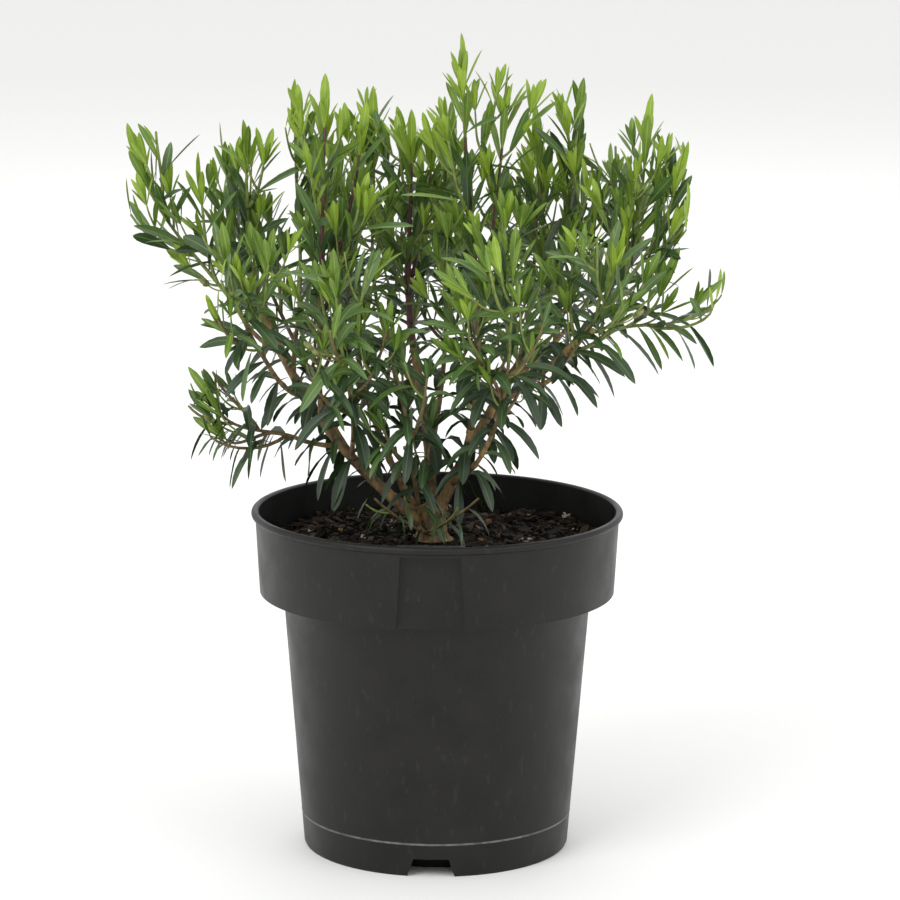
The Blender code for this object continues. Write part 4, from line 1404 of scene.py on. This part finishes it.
# %% The shape of a leaf
LEAF_ROWS = ((0.08, 0.30), (0.25, 0.66), (0.46, 0.94), (0.66, 1.0), (0.83, 0.78), (0.94, 0.38))
RIB_SHARE = 0.11
LEAF_FOLD = 0.30


def leaf(root, heading, across, length, width, droop):
    """Corners, faces and slots of one leaf; the middle strip of faces is its midrib."""
    corners = [root]
    centre = root.copy()
    before = 0.0
    for share, breadth in LEAF_ROWS + ((1.0, 0.0),):
        direction = (heading - UP * (droop * share)).normalized()
        centre = centre + direction * (length * (share - before))
        before = share
        if breadth == 0.0:
            break
        face = across.cross(direction).normalized()
        half = 0.5 * width * breadth
        rib = half * RIB_SHARE * (1.3 - 0.6 * share) / max(breadth, 0.5)
        rim = face * (half * LEAF_FOLD)
        corners += [
            centre - across * half + rim,
            centre - across * rib,
            centre + across * rib,
            centre + across * half + rim,
        ]
    corners.append(centre)
    tip = len(corners) - 1
    faces = [(0, 2, 1), (0, 3, 2), (0, 4, 3)]
    slots = [0, 1, 0]
    for row in range(len(LEAF_ROWS) - 1):
        base = 1 + 4 * row
        for column in range(3):
            low = base + column
            faces.append((low, low + 1, low + 5, low + 4))
            slots.append(1 if column == 1 else 0)
    last = tip - 4
    faces += [(last, last + 1, tip), (last + 1, last + 2, tip), (last + 2, last + 3, tip)]
    slots += [0, 1, 0]
    return corners, faces, slots


print("rows of a leaf:", len(LEAF_ROWS))

# %% [markdown]
# Five greens are dealt out leaf by leaf, by how high the leaf sits and how near it is to the
# tip of its shoot, with a little chance. The midrib of each green is a lighter tone of it.

# %% Colours of the leaves
LEAF_COLOURS = {
    "leaves_oldest": ((0.014, 0.034, 0.014), (0.026, 0.056, 0.022), (0.075, 0.110, 0.050)),
    "leaves_old": ((0.024, 0.058, 0.016), (0.042, 0.090, 0.024), (0.110, 0.165, 0.055)),
    "leaves_grown": ((0.050, 0.108, 0.020), (0.080, 0.155, 0.030), (0.170, 0.260, 0.070)),
    "leaves_young": ((0.095, 0.180, 0.016), (0.150, 0.250, 0.024), (0.250, 0.370, 0.065)),
    "leaves_newest": ((0.180, 0.295, 0.018), (0.265, 0.395, 0.030), (0.360, 0.490, 0.080)),
}
SHADES = list(LEAF_COLOURS)
SHADE_MIDDLE = 0.30
SHADE_FOOT = 0.225
SHADE_HEIGHT = 0.125
BY_HEIGHT = 0.34
BY_PLACE = 0.42
BY_ORDER = 0.05
BY_CHANCE = 0.09


def leaf_shade(share, height, order, chance):
    """Which green: from 0, oldest, to the newest at the shoot tips."""
    high = (height - SHADE_FOOT) / SHADE_HEIGHT
    young = SHADE_MIDDLE + BY_HEIGHT * high + BY_PLACE * (share - 0.5) + BY_ORDER * order
    young = young + chance.gauss(0.0, BY_CHANCE)
    return min(len(SHADES) - 1, max(0, int(young * len(SHADES))))


print("greens:", len(SHADES))

# %% Put one leaf on a shoot
leaf_heaps = {name: Heap() for name in SHADES}


def try_leaf(shade, root, along, turn, lean, length, width, droop, owner):
    """Put a leaf on a shoot if it keeps to its reach and touches no limb."""
    across = along.orthogonal().normalized()
    across.rotate(Matrix.Rotation(turn, 3, along))
    outward = across.cross(along).normalized()
    heading = along * math.cos(lean) + outward * math.sin(lean)
    across.negate()
    corners, faces, slots = leaf(root, heading, across, length, width, droop)
    if not SPACES.suits_leaf(corners[4:], owner):
        return False
    leaf_heaps[SHADES[shade]].add(corners, faces, slots)
    return True


print("heaps of leaves:", len(leaf_heaps))

# %% [markdown]
# Leaves sit at golden-angle steps, so few hide the one below. A leaf that would reach out
# of its mass or into a limb tries the next place round the shoot, a little smaller each time.
# Leaves low in the crown lean out, are smaller, and arch down.

# %% Leaves along a shoot
LEAF_LENGTH = 0.0330
LEAF_SLIMNESS = 0.195
LEAF_SPACING = 0.0070
TWIG_LEAF_SPACING = 0.0060
TWIG_LEAF_SIZE = 0.86
LEAF_TRIES = 6
SMALLER_EACH_TRY = 0.05
FIRST_LEAF = 0.004
LAST_LEAF_PLACE = 0.96
LOW_RANGE = 0.145
LEAF_LEAN = 24
LEAN_AT_FOOT = 26
LEAN_LOW_DOWN = 26
LEAN_CHANCE = 7
LEAF_DROOP = 0.10
DROOP_LOW_DOWN = 2.6
SMALLER_AT_TIP = 0.28
SMALLER_LOW_DOWN = 0.30


def lowness(height):
    """1 at the top of the mix, 0 from the middle of the crown upward."""
    return max(0.0, min(1.0, 1.0 - (height - MIX_TOP) / LOW_RANGE))


def leaves_on(shoot):
    """Leaves at golden-angle steps, arched low down, upright near the tip."""
    chance = random.Random(shoot.name + " leaves")
    route = shoot.route
    length = length_of(route)
    spacing = LEAF_SPACING if shoot.order < 2 else TWIG_LEAF_SPACING
    count = max(1, int((length - FIRST_LEAF) / spacing))
    turn = chance.uniform(0.0, math.tau)
    made = 0
    for index in range(count):
        from_foot = FIRST_LEAF + (index + chance.uniform(-0.2, 0.2)) * spacing
        share = min(LAST_LEAF_PLACE, from_foot / length)
        root, along = point_along(route, max(0.02, share))
        low = lowness(root.z)
        lean = math.radians(
            LEAF_LEAN + LEAN_AT_FOOT * (1.0 - share) + LEAN_LOW_DOWN * low
            + chance.uniform(-LEAN_CHANCE, LEAN_CHANCE))
        droop = LEAF_DROOP + DROOP_LOW_DOWN * low + chance.uniform(-0.08, 0.25)
        size = LEAF_LENGTH * chance.uniform(0.74, 1.14) * (1.0 - SMALLER_AT_TIP * share)
        size *= (1.0 if shoot.order < 2 else TWIG_LEAF_SIZE) * (1.0 - SMALLER_LOW_DOWN * low)
        shade = leaf_shade(share, root.z, shoot.order, chance)
        slim = LEAF_SLIMNESS * (1.12 - 0.10 * shade) * chance.uniform(0.9, 1.1)
        for attempt in range(LEAF_TRIES):
            turn += GOLDEN_TURN
            smaller = 1.0 - SMALLER_EACH_TRY * attempt
            long, wide = size * smaller, size * smaller * slim
            if try_leaf(shade, root, along, turn, lean, long, wide, droop, shoot.owner):
                made += 1
                break
    return made


print("longest leaf, about:", round(1.14 * LEAF_LENGTH, 4))

# %% A tuft at the end of a shoot
TUFT_LEAVES = 5
TUFT_PLACE = 0.985
TUFT_LENGTHS = (0.011, 0.020)
LEADER_TUFT_LENGTHS = (0.014, 0.023)
TUFT_LEAN = 10
TUFT_OPENING = 6
TUFT_BREADTH = 0.20
TUFT_DROOP = -0.10
TOP_LEAF_LENGTH = 1.15 * TIP_LEAF
TOP_LEAF_BREADTH = 0.17
TOP_LEAF_LEAN = 0.02


def tuft_on(shoot):
    """A tight tuft of new upright leaves round the end of a shoot."""
    chance = random.Random(shoot.name + " tuft")
    root, along = point_along(shoot.route, TUFT_PLACE)
    shade = leaf_shade(1.0, root.z, shoot.order, chance)
    leader = shoot.order == 0
    made = 0
    if leader:
        turn = chance.uniform(0.0, math.tau)
        length = TOP_LEAF_LENGTH
        made += try_leaf(shade, root, along, turn, TOP_LEAF_LEAN, length,
                         length * TOP_LEAF_BREADTH, 0.0, shoot.owner)
    for number in range(TUFT_LEAVES):
        turn = number * GOLDEN_TURN + chance.uniform(-0.3, 0.3)
        length = chance.uniform(*(LEADER_TUFT_LENGTHS if leader else TUFT_LENGTHS))
        lean = math.radians(TUFT_LEAN + TUFT_OPENING * number)
        made += try_leaf(shade, root, along, turn, lean, length, length * TUFT_BREADTH,
                         TUFT_DROOP, shoot.owner)
    return made


leaf_count = 0
for shoot in shoots:
    leaf_count += leaves_on(shoot)
    leaf_count += tuft_on(shoot)
print("leaves on shoots:", leaf_count)

# %% [markdown]
# The boughs themselves keep leaves along their outer part too. These are old ones: dark,
# arched, a little shorter than the others and broader for their length.

# %% Leaves along the boughs
BOUGH_LEAF_SPACING = 0.0060
BOUGH_BARE_SHARE = {"bough_left": 0.30, "bough_right": 0.28, "bough_centre": 0.05}
OTHERS_BARE_SHARE = 0.12
BOUGH_LEAF_LEAN = 58
BOUGH_LEAF_BREADTH = 0.23
BOUGH_LEAF_DROOP = 0.7
BOUGH_DROOP_LOW_DOWN = 1.9
BOUGH_ROUTE_POINTS = 24
nearest_mass = {mass.limb: owner for owner, mass in enumerate(MASSES)}
bough_leaves = 0
for limb in LIMBS:
    chance = random.Random(limb.name + " leaves")
    start = ROUTES[limb.name][0]
    route = limb_route(start, Vector(limb.bend), Vector(limb.tip), BOUGH_ROUTE_POINTS)
    length = (route[-1] - route[0]).length
    bare = BOUGH_BARE_SHARE.get(limb.name, OTHERS_BARE_SHARE)
    count = int(length * (1.0 - bare) / BOUGH_LEAF_SPACING)
    turn = chance.uniform(0.0, math.tau)
    for index in range(count):
        share = bare + (1.0 - bare) * (index + chance.random()) / max(count, 1)
        place, along = point_along(route, min(share, 0.98))
        radius = limb.base_radius + (limb.tip_radius - limb.base_radius) * share
        droop = BOUGH_LEAF_DROOP + BOUGH_DROOP_LOW_DOWN * lowness(place.z)
        size = LEAF_LENGTH * chance.uniform(0.60, 0.90)
        for attempt in range(LEAF_TRIES):
            turn += GOLDEN_TURN
            lean = math.radians(BOUGH_LEAF_LEAN + chance.uniform(-10, 14))
            across = along.orthogonal().normalized()
            across.rotate(Matrix.Rotation(turn, 3, along))
            outward = across.cross(along).normalized()
            root = place + outward * (radius * 0.9)
            shade = chance.choice((0, 0, 1))
            if try_leaf(shade, root, along, turn, lean, size, size * BOUGH_LEAF_BREADTH,
                        droop, nearest_mass[limb.name]):
                bough_leaves += 1
                break
print("leaves on boughs:", bough_leaves)

# %% Leaf finishes and pieces
OLD_SHADES = 3
OLD_ROUGH = (0.34, 0.46)
YOUNG_ROUGH = (0.40, 0.52)
RIB_ROUGH = (0.42, 0.52)
LEAF_MARKS = 95.0
mass_names = [mass.name for mass in MASSES]
for number, (name, (dark, light, rib)) in enumerate(LEAF_COLOURS.items()):
    rough = OLD_ROUGH if number < OLD_SHADES else YOUNG_ROUGH
    blade = finish(
        name + "_blade", dark, light, scale=LEAF_MARKS, rough=rough, grain=1500.0, depth=0.00008)
    dim_rib = tuple(0.8 * part for part in rib)
    midrib = finish(
        name + "_midrib", dim_rib, rib, scale=LEAF_MARKS, rough=RIB_ROUGH, grain=1500.0,
        depth=0.00005)
    leaf_heaps[name].piece(name, [blade, midrib], "foliage", mass_names)

# %% [markdown]
# ## Buds
#
# A few flower buds sit among the leaves on thin curved stalks. A bud is a small closed spindle,
# fatter towards its end, with five pointed sepals at its foot. The stalk leaves the shoot
# outward, dips a little, and turns up again.

# %% The shape of a bud
BUD_LENGTH = 0.0062
BUD_RADIUS = 0.00125
BUD_RINGS = 9
BUD_SIDES = 10
BUD_FATTER_UP = 1.35
SEPALS = 5
SEPAL_LENGTH = 0.0030
SEPAL_WIDTH = 0.0011
bud_heap = Heap()


def bud(foot, heading):
    """A closed spindle with its sepals, added to the heap of buds."""
    shares = [index / (BUD_RINGS - 1) for index in range(BUD_RINGS)]
    points = [foot + heading * (BUD_LENGTH * index / (BUD_RINGS - 1)) for index in range(BUD_RINGS)]
    radii = [
        BUD_RADIUS * (0.30 + 0.75 * math.sin(math.pi * share ** BUD_FATTER_UP) ** 0.8)
        for share in shares
    ]
    bud_heap.add(*tube(points, radii, BUD_SIDES))
    side = heading.orthogonal().normalized()
    for number in range(SEPALS):
        outward = side.copy()
        outward.rotate(Matrix.Rotation(number * math.tau / SEPALS, 3, heading))
        corners, faces, _ = leaf(
            foot + outward * BUD_RADIUS * 0.35, (heading + outward * 0.55).normalized(),
            heading.cross(outward), SEPAL_LENGTH, SEPAL_WIDTH, 0.0)
        bud_heap.add(corners, faces)


print("length of a bud:", BUD_LENGTH)

# %% Make the buds
BUD_COUNT = 30
BUD_TRIES = 6
LOWEST_BUD = 0.19
HIGHEST_BUD = 0.30
STALK_LENGTH = 0.011
STALK_RADIUS = 0.00032
STALK_RINGS = 9
STALK_SIDES = 6
stalk_heap = Heap()


def curved_stalk(start, outward):
    """A thin stalk that leaves outward, dips, and turns up again."""
    dip = start + outward * STALK_LENGTH * 0.55 - UP * STALK_LENGTH * 0.12
    end = start + outward * STALK_LENGTH * 0.95 + UP * STALK_LENGTH * 0.22
    steps = STALK_RINGS - 1
    return [bend_point(start, dip, end, index / steps) for index in range(STALK_RINGS)]


chance = random.Random("buds")
candidates = [
    shoot for shoot in shoots
    if shoot.order < 2 and LOWEST_BUD < shoot.route[3].z < HIGHEST_BUD
]
made = 0
for attempt in range(BUD_COUNT * BUD_TRIES):
    if made == BUD_COUNT:
        break
    shoot = chance.choice(candidates)
    place, along = point_along(shoot.route, chance.uniform(0.05, 0.7))
    outward = Vector((place.x, place.y, 0.0)).normalized()
    outward.rotate(Matrix.Rotation(chance.uniform(-1.0, 1.0), 3, UP))
    route = curved_stalk(place, outward)
    heading = (route[-1] - route[-2]).normalized()
    ahead = [route[-1] + heading * BUD_LENGTH * share for share in (0.0, 0.5, 1.0)]
    if place.z < LOWEST_BUD or not SPACES.suits_leaf(ahead, shoot.owner):
        continue
    stalk_radii = tapering(STALK_RADIUS, STALK_RADIUS * 1.2, STALK_RINGS)
    stalk_heap.add(*tube(route, stalk_radii, STALK_SIDES))
    bud(route[-1], heading)
    made += 1
print("buds:", made)

# %% Finishes of the buds and stalks
BUD_DARK = (0.13, 0.17, 0.04)
BUD_LIGHT = (0.26, 0.25, 0.09)
STALK_DARK = (0.13, 0.15, 0.04)
STALK_LIGHT = (0.20, 0.21, 0.06)
bud_finish = finish(
    "bud_green", BUD_DARK, BUD_LIGHT, scale=500.0, rough=(0.45, 0.6), grain=1500.0, depth=0.0001)
stalk_finish = finish(
    "stalk_green", STALK_DARK, STALK_LIGHT, scale=500.0, rough=(0.5, 0.6), grain=1500.0,
    depth=0.0001)
bud_heap.piece("buds", [bud_finish], "foliage")
stalk_heap.piece("bud_stalks", [stalk_finish], "foliage")
